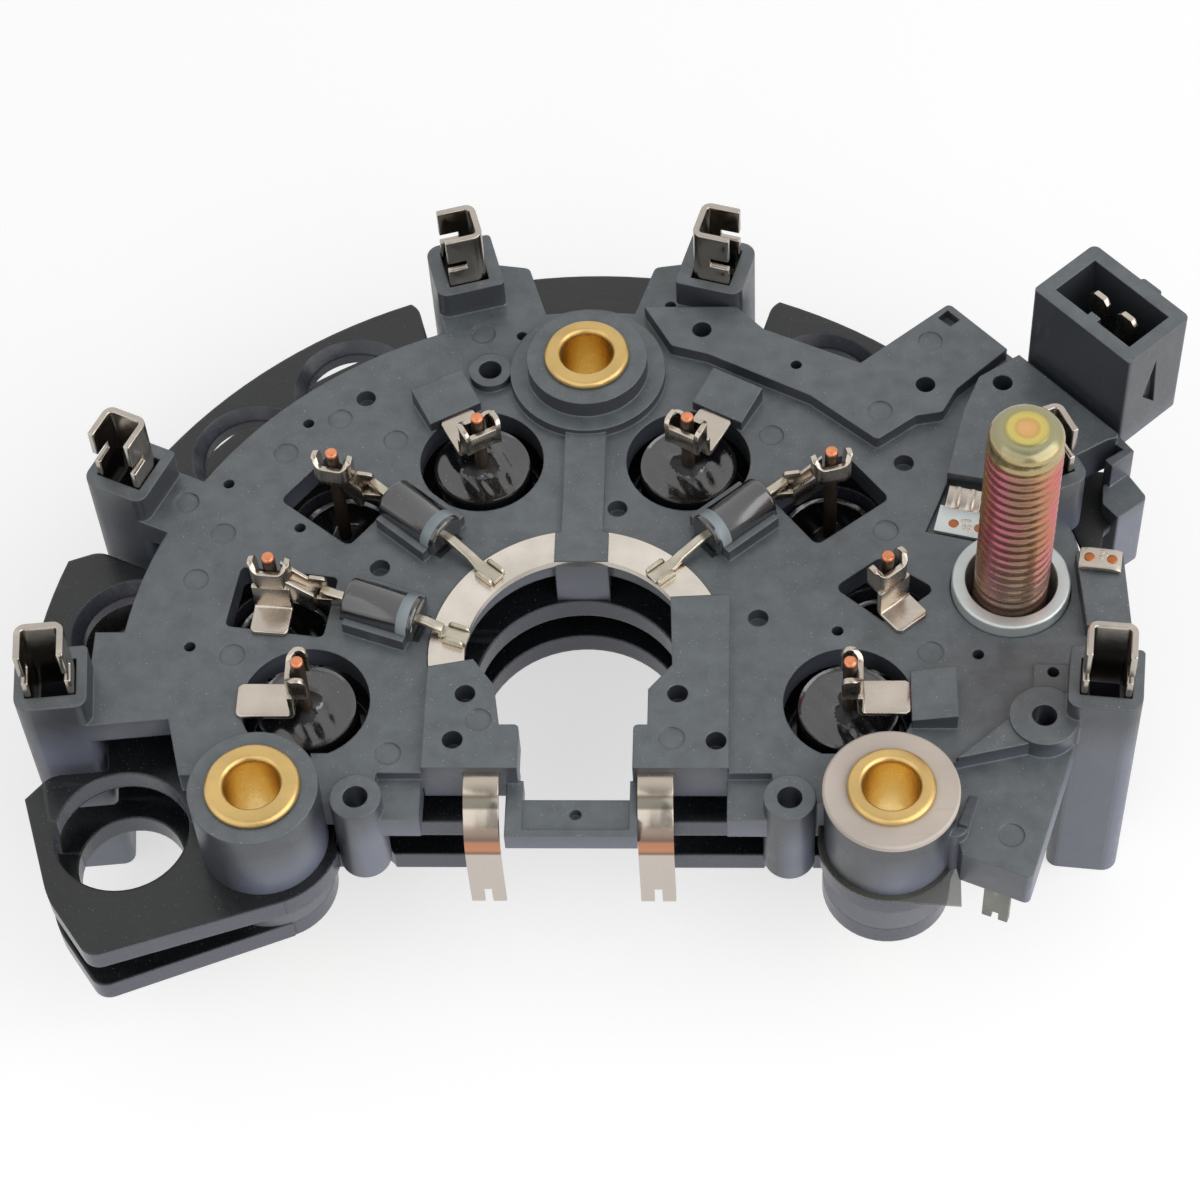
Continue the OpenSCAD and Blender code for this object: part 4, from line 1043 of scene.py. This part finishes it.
@dataclass
class LeadTabs:
    """The sheet tabs crimped on the eight leads."""

    width: float = 4.0
    thick: float = 0.6
    lead_r: float = 0.7
    crimp_top: float = 22.7
    crimp_low: float = 19.3
    web_x: float = 1.05
    ear_l: float = 2.2
    ear_rise: float = 1.0
    ear_round: float = 0.9
    flare: float = 0.22
    flare_h: float = 1.8
    fold: float = 0.6
    arm_w: float = 2.3
    arm_wall: float = 0.45
    arm_top: float = 1.6
    arm_h: float = 2.6
    wire_seat: float = 0.55
    wire_rim: float = 1.0
    wire_tail: float = 3.0
    tabs: tuple[Tab, ...] = (
        Tab((-11, 24.7), 119, 6.2, 0.6, True), Tab((11, 24.7), 61, 6.2, 0.6, True),
        Tab((-27.5, -6), 180, 6.9, 0.0), Tab((27.5, -6), 0, 6.2, 0.6),
        Tab((-26, 20.1), -102, 0, 0, False, (-21.18, 19.71)),
        Tab((26, 20.1), -75, 0, 0, False, (20.08, 19.71)),
        Tab((-31.5, 6.8), -95, 4.6, 0, False, (-25.2, 6.31)), Tab((31.5, 6.8), -50, 4.4, 0))

    def crimp(self, shape: Shape, tab: Tab) -> None:
        """Adds the folded sheet around a lead: a low web and two ears with round, flared tops.

        Args:
            shape: The tab.
            tab: Its values.
        """
        half, web, high, r = (self.width - self.thick) / 2, self.web_x, self.crimp_top, self.fold
        outer, ear = web + self.thick / 2, self.ear_round
        free = -outer if tab.far_web else outer - self.ear_l
        line = [(free + s, half, high - ear + math.sqrt(ear ** 2 - (ear - s) ** 2))
                for s in (0.0, 0.2, 0.5, ear)]
        drops = np.linspace(0.1, 0.95, 6) * self.ear_rise
        line += [(x, y, high - drop) for (x, y), drop in zip(arc((web - r, half - r), r, 90, 0), drops)]
        line += [(web, 0.4 * half, high - self.ear_rise)]
        line += [(x, -y, top) for x, y, top in line[::-1]]
        rows = []
        for share in (0.0, 0.3, 0.55, 0.75, 0.9, 1.0):
            row = []
            for x, y, top in line:
                z = self.crimp_low + share * (top - self.crimp_low)
                lean = max(0.0, z - high + self.flare_h) / self.flare_h if x < web - r + 0.01 else 0.0
                row.append((x, y + math.copysign(self.flare * lean ** 2, y), z))
            rows.append(row)
        shape.sheet(rows, self.thick, turned(tab.lead, tab.turn))

    def arm(self, shape: Shape, tab: Tab) -> None:
        """Adds the trough that carries an exciter diode's outer wire.

        Args:
            shape: The tab.
            tab: Its values.
        """
        way = Vector(tab.arm_end) - Vector(tab.lead)
        span, t, base, half = way.length, self.thick, LEVELS.base + CLEAR, self.arm_w / 2
        upright = turned(tab.lead, math.degrees(math.atan2(way.y, way.x))) @ ON_EDGE
        near, mouth = self.lead_r + 0.2, span - self.wire_tail / 2 - self.arm_wall
        level, rim = LEVELS.exciter - self.wire_seat, LEVELS.exciter + self.wire_rim
        high, far = self.crimp_top - self.arm_top, math.copysign(1.0, way.x)
        low = high - self.arm_h
        under = [(near, low), (mouth - t, base), (mouth, base)]
        shape.prism(under + [(mouth, level), (near, low + t)], -half + 0.05, half - 0.05, upright)
        for side in (-far, far):
            top = [(mouth, rim)]
            if side == far:
                top = [(mouth + 1.0, base + 0.6), (mouth + 1.0, rim + 0.1), (mouth + 0.7, rim + 0.45),
                       (mouth - 0.7, rim + 0.6), (mouth - 0.9, rim + 0.35)]
            walls = sorted((-side * half, -side * (half - self.arm_wall)))
            shape.prism(under + top + [(near, high)], *walls, upright)
        near, end = mouth - t, span + 0.7
        shape.prism([(near, base), (end, base), (end, level), (near, level)], -t / 2, t / 2, upright)

    def foot(self, shape: Shape, tab: Tab) -> None:
        """Adds the foot that bends from the web to the moulding.

        Args:
            shape: The tab.
            tab: Its values.
        """
        bend, web, reach = self.fold, self.web_x, tab.reach
        low = LEVELS.base + tab.lift + self.thick / 2 + CLEAR
        path = [(reach, low), (reach - 0.15, low), (reach - 0.5, low), ((reach + web) / 2, low)]
        path += arc((web + bend, low + bend), bend, -90, -180, 6) + [(web, self.crimp_low + 0.15)]
        widths = [self.width - 0.9, self.width - 0.4] + [self.width] * (len(path) - 2)
        sections = [rounded_box(width, self.thick - 0.03, 0.14, 2) for width in widths]
        shape.sweep(path, sections, turned(tab.lead, tab.turn))

    def dress(self) -> None:
        """Makes the eight tabs."""
        nickel, half, t = [NICKEL.make()], self.width / 2 - 0.5, self.thick / 2
        for i, tab in enumerate(self.tabs):
            shape = Shape(f"crimp_tab_{i + 1}")
            self.crimp(shape, tab)
            if tab.reach:
                self.foot(shape, tab)
            if tab.far_web:
                near, far = -self.web_x + t, -self.web_x - t
                shape.prism([(far, -half), (far, half), (near, half), (near, -half)], self.crimp_low + 0.1,
                            self.crimp_top - self.ear_rise, turned(tab.lead, tab.turn))
            if tab.arm_end:
                self.arm(shape, tab)
            shape.make(nickel, Slot.NICKEL, f"lead_tab_{i + 1}", bevel=0.06)


@dataclass(frozen=True)
class Exciter:
    """One exciter diode: its centre, the direction of its inner wire and that wire's length."""

    centre: Plan
    way: float
    reach: float


@dataclass
class ExciterDiodes:
    """The three small diodes, their wires and the field ring that they feed."""

    radius: float = 2.35
    length: float = 8.0
    edge: float = 0.45
    tail: float = 3.0
    band: Plan = (2.25, 3.55)
    paint: float = 0.015
    inner_sizes: tuple[Plan, ...] = ((1.05, 0.95), (1.05, 0.9), (1.1, 0.75), (1.25, 0.6), (1.4, 0.55),
                                     (1.4, 0.5))
    outer_sizes: tuple[Plan, ...] = ((1.0, 1.0), (1.05, 0.9), (1.1, 0.85))
    ear_y: float = 0.92
    diodes: tuple[Exciter, ...] = (
        Exciter((-17.0, 16.14), -40.5, 7.3), Exciter((-20.02, 4.47), -19.5, 5.3),
        Exciter((15.9, 16.14), 220.5, 7.3))

    def body(self, shape: Shape, matrix: Matrix) -> None:
        """Turns one diode's body with its painted band.

        Args:
            shape: The body.
            matrix: Where the diode goes.
        """
        half, r, edge, (low, high) = self.length / 2, self.radius, self.edge, self.band
        foot = arc((r - edge, edge - half), edge, -90, 0)
        band = [(r, low), (r + self.paint, low + 0.02), (r + self.paint, high - 0.12)]
        profile = [(0, -half), *foot, *band, *[(x, -z) for x, z in foot[-2::-1]], (0, half)]
        marks = [int(low <= (a[1] + b[1]) / 2 <= high) for a, b in zip(profile, profile[1:])]
        lying = matrix @ Matrix.Rotation(math.radians(90), 4, "Y")
        shape.lathe(profile, lying, 56, mark=lambda band, _: marks[band])

    def wires(self, shape: Shape, matrix: Matrix, reach: float) -> None:
        """Shapes one diode's two flattened wires, with the inner one's ears.

        Args:
            shape: The wires.
            matrix: Where the diode goes.
            reach: Length of the inner wire.
        """
        half, drop = self.length / 2, LEVELS.ring_top + 0.32 - LEVELS.exciter
        end = half + reach
        inner = [(half - 0.4, 0), (half + 0.8, -0.02), (half + reach * 0.45, drop * 0.5), (end - 3.0, drop),
                 (end - 2.4, drop), (end, drop)]
        outer = [(-half + 0.4, 0), (-half - 0.6, 0), (-half - self.tail, 0)]
        for path, sizes in ((inner, self.inner_sizes), (outer, self.outer_sizes)):
            shape.sweep(path, [rounded_box(w, h, min(w, h) * 0.3) for w, h in sizes], matrix)
        ear = [(end - 2.5, drop - 0.28), (end - 0.2, drop - 0.28), (end - 0.2, drop + 0.35),
               (end - 0.6, drop + 0.6), (end - 2.2, drop + 0.6), (end - 2.5, drop + 0.3)]
        for middle in (-self.ear_y, self.ear_y):
            shape.prism(ear, middle - 0.2, middle + 0.2, matrix @ ON_EDGE)

    def dress(self) -> None:
        """Makes the diodes and wires, and finishes the ring."""
        epoxy, wire = [EPOXY.make(), BAND.make()], [WIRE.make()]
        for i, diode in enumerate(self.diodes):
            body, leads = Shape(f"exciter_body_{i + 1}"), Shape(f"exciter_leads_{i + 1}")
            matrix = turned((*diode.centre, LEVELS.exciter), diode.way)
            self.body(body, matrix)
            body.make(epoxy, Slot.EXCITER, f"exciter_diode_{i + 1}", angle=60)
            self.wires(leads, matrix, diode.reach)
            leads.make(wire, Slot.WIRE, f"exciter_wire_{i + 1}", bevel=0.06)
        coat(RING_NICKEL.make(), "field_ring")


@dataclass
class StatorClips:
    """The six sheet clips on the wire-guide towers, with a slot in each wing."""

    angles: tuple[float, ...] = (105.8, 156.0, 185.8)
    radii: tuple[float, ...] = (50.9, 52.6, 53.3)
    width: float = 5.0
    depth: float = 4.2
    thick: float = 0.7
    sunk: float = 3.0
    slot_low: float = 4.6
    slot_high: float = 3.4
    bend: float = 0.75

    def dress(self) -> None:
        """Folds the six clips."""
        finish, r, top = [CLIP_NICKEL.make()], self.bend, LEVELS.clip
        x, y, back = (self.width - self.thick) / 2, self.depth / 2, (self.thick - self.depth) / 2
        line = [(x, y), (x, y - 0.8), (x, back + 1.75), (x, back + 1.05), *arc((x - r, back + r), r, 0, -90)]
        line += [(-px, py) for px, py in line[::-1]]
        levels = (top, top - 0.4, top - self.slot_high, top - self.slot_low, LEVELS.tower,
                  LEVELS.tower - self.sunk)
        rows = [[(px, py, z) for px, py in line] for z in levels]
        slots = [(2, column) for column in (0, 1, len(line) - 3, len(line) - 2)]
        spots = product(Side, zip(self.angles, self.radii))
        for number, (side, (angle, radius)) in enumerate(spots, 1):
            shape = Shape(f"wing_clip_{number}")
            place = turned(polar(radius, angle), angle, side is Side.RIGHT)
            shape.sheet(rows, self.thick, place, lambda i, j: (i, j) in slots)
            shape.make(finish, Slot.CLIP, f"stator_clip_{number}", bevel=0.14)


@dataclass
class ContactStrips:
    """The two springy strips that bend down over the front edge."""

    places: tuple[float, ...] = (-9.2, 8.2)
    width: float = 3.6
    thick: float = 0.45
    notch_w: float = 0.8
    notch_rows: int = 7
    path: tuple[Plan, ...] = ((-12.7, 15.4), (-15.2, 15.4), (-16.7, 14.9), (-17.9, 13.8), (-18.9, 12.4),
                              (-19.6, 10.6), (-19.9, 8.6), (-19.9, 5.6), (-19.8, 2.3), (-19.7, -0.3))

    def dress(self) -> None:
        """Bends the two strips."""
        finish, line = [STRIP_NICKEL.make()], smooth_path(self.path)
        half, slit = self.width / 2, self.notch_w / 2
        notch = len(line) - self.notch_rows
        for i, x in enumerate(self.places):
            shape = Shape(f"bent_strip_{i + 1}")
            rows = [[(x + a, y, z) for a in (-half, -slit, slit, half)] for y, z in line]
            shape.sheet(rows, self.thick, gone=lambda row, column: row >= notch and column == 1)
            shape.make(finish, Slot.NICKEL, f"contact_strip_{i + 1}", bevel=0.08)


@dataclass
class OutputStud:
    """The threaded output stud and its sleeve."""

    at: Plan = (44.3, 8.1)
    crest_r: float = 3.82
    root_r: float = 3.6
    neck_r: float = 3.9
    shank_r: float = 3.3
    pitch: float = 1.25
    thread_from: float = 11.0
    top: float = 42.4
    point: float = 1.5
    disc_r: float = 2.2
    shoulder: float = 1.35
    rings: tuple[Plan, ...] = ((0.86, 0.03), (0.8, 0.09), (0.66, 0.07), (0.6, 0.02), (0.42, 0.06),
                               (0.36, 0.12))
    head_r: float = 5.5
    head_t: float = 2.4
    sleeve_r: float = 6.1
    sleeve_bore_r: float = 4.7
    sleeve_top: float = 17.2
    sleeve_lip: float = 0.35
    sleeve_edge: float = 0.12

    def thread(self, shape: Shape) -> None:
        """Turns the stud's head and shank, cuts its thread and shapes its plain point.

        Args:
            shape: The stud.
        """
        start, end, place = self.thread_from, self.top - self.point - 0.2, turned(self.at)
        root, depth = self.root_r, self.crest_r - self.root_r

        def cut(_: float, z: float, a: float) -> Plan:
            """Gives the form of the thread.

            Args:
                _: Radius in the profile, which isn't used.
                z: Height of the point.
                a: Angle of the point.

            Returns:
                The radius and the height.
            """
            phase = (z / self.pitch - a / (2 * math.pi)) % 1
            fade = min(1.0, (z - start) / 0.6) * min(1.0, (end - z) / 1.6)
            return root + depth * (0.5 + 0.5 * math.cos(2 * math.pi * phase)) * max(0.0, fade), z
        heights = np.arange(start, end, self.pitch / 9)
        shape.lathe([(root, z) for z in heights], place, form=cut)
        bottom, under = LEVELS.upper_bottom - self.head_t, LEVELS.upper_bottom - CLEAR
        head, neck, shank, over = self.head_r, self.neck_r, self.shank_r, LEVELS.upper_top
        shape.lathe([(0, bottom), (head - 0.3, bottom), (head, bottom + 0.3), (head, under), (neck, under),
                     (neck, over), (shank, over), (shank, heights[0] - 0.4), (root, heights[0])], place)
        disc, top = self.disc_r, self.top
        dome = arc((disc, top - 0.1 - self.shoulder), (root + 0.12 - disc, self.shoulder), 0, 90, 10)
        rings = [(disc * share, top - drop) for share, drop in self.rings]
        shape.lathe([(root, heights[-1]), *dome, (disc - 0.1, top), *rings, (0, top - 0.1)], place)

    def dress(self) -> None:
        """Makes the stud and the sleeve."""
        stud, sleeve = Shape("threaded_stud"), Shape("zinc_sleeve")
        self.thread(stud)
        stud.make([STUD_ZINC.make()], Slot.STUD, "terminal_stud", angle=60)
        r, bore, top, low = self.sleeve_r, self.sleeve_bore_r, self.sleeve_top, LEVELS.upper_top
        lip, edge = self.sleeve_lip, self.sleeve_edge
        outside = arc((r - lip, top - lip), lip, 0, 90)
        inside = arc((bore + edge, top - edge), edge, 90, 180, 4)
        sleeve.lathe([(bore, low), (r, low), *outside, *inside], turned(self.at), 96, True)
        sleeve.make([SLEEVE_ZINC.make()], Slot.SLEEVE, "terminal_sleeve")


@dataclass
class SmallContacts:
    """The plug's blades, the two weld tabs and the suppressor tab."""

    plug_at: Plan = (55.3, 35.6)
    plug_turn: float = -47.4
    blade_xs: Plan = (-1.95, 1.95)
    blade_shift: float = 0.5
    blade_w: float = 2.6
    blade_t: float = 0.7
    blade_tip: float = 0.6
    blade_low: float = 16.1
    blade_top: float = 27.3
    weld_places: tuple[Space, ...] = ((39.4, 17.0, 14.8), (53.4, 9.8, 17.7))
    weld_turns: Plan = (-14.0, -8.0)
    weld_rooms: tuple[tuple[float, ...], ...] = ((-2.3, 3.0, -2.1, 1.3), (-2.1, 2.1, -1.3, 1.3))
    weld_dots: tuple[tuple[Plan, ...], ...] = (((-0.45, -0.8), (2.25, -0.8)), ((-1.15, 0.0), (1.15, 0.0)))
    weld_t: float = 0.8
    weld_sheet: float = 0.5
    ramp: Plan = (2.2, 3.6)
    ridge: float = 0.14
    dot_r: float = 0.56
    spatter_r: float = 0.26
    spatter_room: Plan = (0.5, 0.8)
    spatter_counts: tuple[int, int] = (7, 3)
    spatter_seed: int = 7
    tab_at: Plan = (42.1, -23.7)
    tab_turn: float = -22.0
    tab_half: float = 1.35
    tab_notch: Plan = (0.35, 1.2)
    tab_t: float = 0.76
    tab_h: float = 8.0
    tab_drop: float = 8.8

    def blades(self, finish: Material) -> None:
        """Makes the plug's two blades with chamfered tips.

        Args:
            finish: Their material.
        """
        place = turned(self.plug_at, self.plug_turn) @ ON_EDGE
        half, tip, t = self.blade_w / 2, self.blade_tip, self.blade_t / 2
        low, top = self.blade_low, self.blade_top
        outline = [(-half, low), (half, low), (half, top - tip), (half - tip, top), (tip - half, top),
                   (-half, top - tip)]
        for i, x in enumerate(self.blade_xs):
            shape = Shape(f"plug_blade_{i + 1}")
            shape.prism([(x + a, z) for a, z in outline], -self.blade_shift - t, -self.blade_shift + t, place)
            shape.make([finish], Slot.NICKEL, f"connector_blade_{i + 1}", bevel=0.12, angle=30)

    def plate(self, i: int, place: Matrix) -> Shape:
        """Shapes one weld plate: the first with a ramp behind it, the second arched over its wire.

        Args:
            i: Which plate.
            place: Where the plate goes.

        Returns:
            The shape.
        """
        shape, (left, right, front, edge) = Shape(f"weld_plate_{i + 1}"), self.weld_rooms[i]
        t, middle, level = self.weld_sheet, (left + right) / 2, self.weld_t - self.weld_sheet / 2
        sag = i * (self.weld_t - t)
        arch = [(x, level - sag * ((x - middle) / (right - middle)) ** 4)
                for x in np.linspace(left, right, 15)]
        shape.sheet([[(x, y, z) for x, z in arch] for y in (front, edge)], t, place)
        if i == 0:
            run, wide = self.ramp[0], self.ramp[1] / 2
            rise = [(edge - 0.1, level), (edge + run * 0.35, self.weld_t + 0.1),
                    (edge + run, level + self.weld_t)]
            shape.sheet([[(x, y, z + self.ridge * math.exp(-((abs(x) - 0.75) / 0.22) ** 2)) for y, z in rise]
                         for x in np.linspace(wide, -wide, 25)], t, place, mark=1)
        return shape

    def welds(self, finishes: Sequence[Material]) -> None:
        """Makes the weld plates, their copper weld points and the spatter beside them.

        Args:
            finishes: Materials of the first plate and of the rest.
        """
        points, spatter, room = [], [], np.array(self.spatter_room)
        rng, over = np.random.default_rng(self.spatter_seed), self.weld_t - CLEAR
        for i, dots in enumerate(self.weld_dots):
            place = turned(self.weld_places[i], self.weld_turns[i])
            self.plate(i, place).make(finishes[i:], Slot.NICKEL, f"weld_tab_{i + 1}", bevel=0.12, angle=40)
            points += [place @ Vector((*dot, over)) for dot in dots]
            middle = np.mean(dots, axis=0)
            spots = rng.uniform(middle - room, middle + room, (self.spatter_counts[i], 2))
            spatter += [place @ Vector((*spot, over)) for spot in spots]
        set_dots("weld_points", points, self.dot_r, WELD_COPPER.make())
        set_dots("weld_spatter", spatter, self.spatter_r, NICKEL.make())

    def dress(self) -> None:
        """Makes all small contacts."""
        nickel, shape = NICKEL.make(), Shape("hanging_tab")
        self.blades(nickel)
        self.welds([SLEEVE_ZINC.make(), nickel])
        low, half, (slit, deep) = LEVELS.base_bottom - self.tab_drop, self.tab_half, self.tab_notch
        side = [(slit, low + deep), (slit, low), (half, low), (half, low + self.tab_h)]
        outline = [(-x, z) for x, z in side[::-1]] + side
        shape.prism(outline, -self.tab_t / 2, self.tab_t / 2, turned(self.tab_at, self.tab_turn) @ ON_EDGE)
        shape.make([DULL_NICKEL.make()], Slot.CLIP, "suppressor_tab", bevel=0.08, angle=40)


# Studio


@dataclass
class Studio:
    """The floor, the light and the camera."""

    target: Space = (2.09, 6.67, 15.6)
    distance: float = 333.8
    elevation: float = 55.09
    azimuth: float = 5.04
    roll: float = -4.22
    lens: float = 97.02
    floor_size: float = 4000.0
    sky: float = 0.42
    front: Space = (0.0, -0.9, 0.43)
    front_ends: Plan = (0.2, 0.7)
    dark_front: float = 0.35
    floor_tone: float = 0.5
    floor_glow: float = 0.6
    floor_fade: Plan = (130.0, 500.0)
    lamps: tuple[tuple[str, Space, float], ...] = (
        ("left_box", (-340.0, -430.0, 400.0), 2.3), ("right_box", (520.0, -300.0, 340.0), 5.0))
    lamp_size: float = 900.0
    lamp_aim: Space = (0.0, 0.0, 10.0)

    def camera(self) -> None:
        """Sets the camera where the photograph was taken from."""
        az, el, roll = (math.radians(v) for v in (self.azimuth, self.elevation, self.roll))
        back = Vector((math.sin(az) * math.cos(el), -math.cos(az) * math.cos(el), math.sin(el)))
        right = (-back).cross(Vector((0, 0, 1))).normalized()
        up = right.cross(-back)
        across = math.cos(roll) * right + math.sin(roll) * up
        over = -math.sin(roll) * right + math.cos(roll) * up
        data = bpy.data.cameras.new("camera")
        data.lens, data.sensor_width, data.sensor_fit = self.lens, 36.0, "AUTO"
        data.clip_start, data.clip_end = 0.01, 20.0
        place = Matrix((across, over, back)).transposed().to_4x4()
        place.translation = (Vector(self.target) + back * self.distance) * MM
        eye = placed("camera", data)
        eye.matrix_world = place
        bpy.context.scene.camera = eye

    def light(self) -> None:
        """Hangs the soft lamps."""
        for name, place, power in self.lamps:
            data = bpy.data.lights.new(name, "AREA")
            data.shape, data.size, data.energy = "SQUARE", self.lamp_size * MM, power
            lamp = placed(name, data)
            lamp.location = Vector(place) * MM
            lamp.rotation_euler = (Vector(self.lamp_aim) - Vector(place)).to_track_quat("-Z", "Y").to_euler()

    def seen(self, wiring: Wiring) -> Socket:
        """Gives 1 where the background is seen: directly, in a reflection or through something.

        Args:
            wiring: The nodes of the background's shader.

        Returns:
            The value's socket.
        """
        path = wiring.node("ShaderNodeLightPath", {}).outputs
        either = wiring.math("MAXIMUM", path["Is Camera Ray"], path["Is Glossy Ray"])
        return wiring.math("MAXIMUM", either, path["Is Transmission Ray"])

    def backdrop(self) -> None:
        """Makes a white sky that is darker in reflections of the room's front."""
        world = bpy.data.worlds.new("studio")
        world.use_nodes = True
        wiring = Wiring(world.node_tree)
        way = wiring.node("ShaderNodeTexCoord", {}).outputs["Generated"]
        toward = wiring.vector("DOT_PRODUCT", way, self.front, "Value")
        room = wiring.span(toward, *self.front_ends, 1.0, self.dark_front)
        direct = wiring.node("ShaderNodeLightPath", {}).outputs["Is Camera Ray"]
        shade = wiring.math("MAXIMUM", room, direct)
        level = wiring.span(self.seen(wiring), 0.0, 1.0, self.sky, 1.0)
        background = world.node_tree.nodes["Background"].inputs
        background["Color"].default_value = (1, 1, 1, 1)
        wiring.feed(background["Strength"], wiring.math("MULTIPLY", level, shade))
        bpy.context.scene.world = world

    def floor(self) -> None:
        """Lays white paper that keeps the part's shadow and fades into the sky."""
        half, z = self.floor_size * MM / 2, (LEVELS.leg - CLEAR) * MM
        mesh = bpy.data.meshes.new("floor")
        corners = [(-half, -half, z), (half, -half, z), (half, half, z), (-half, half, z)]
        mesh.from_pydata(corners, [], [(0, 1, 2, 3)])
        paper = bpy.data.materials.new("white_paper")
        paper.use_nodes = True
        wiring = Wiring(paper.node_tree)
        away = wiring.vector("LENGTH", wiring.place(), give="Value")
        near, far = (edge * MM for edge in self.floor_fade)
        glow = wiring.math("MULTIPLY", self.seen(wiring), wiring.span(away, near, far, self.floor_glow, 1.0))
        values = {"Roughness": 0.9, "Emission Color": (1, 1, 1, 1), "Emission Strength": glow,
                  "Base Color": wiring.span(away, near, far, self.floor_tone, 0.0)}
        for label, value in values.items():
            wiring.feed(paper.node_tree.nodes["Principled BSDF"].inputs[label], value)
        mesh.materials.append(paper)
        placed("floor", mesh)

    def build(self) -> None:
        """Sets up sky, floor, lamps and camera."""
        bpy.context.scene.view_settings.view_transform = "Standard"
        self.backdrop()
        self.floor()
        self.light()
        self.camera()


def main() -> None:
    """Builds and dresses the part, piece by piece."""
    logging.basicConfig(level=logging.INFO, format="%(name)s: %(message)s")
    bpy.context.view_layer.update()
    for assembly in (HeatSinks(), Moulding(), Bushes(), PressDiodes(), LeadTabs(), ExciterDiodes(),
                     StatorClips(), ContactStrips(), OutputStud(), SmallContacts()):
        assembly.dress()
    Studio().build()


if __name__ == "__main__":
    main()
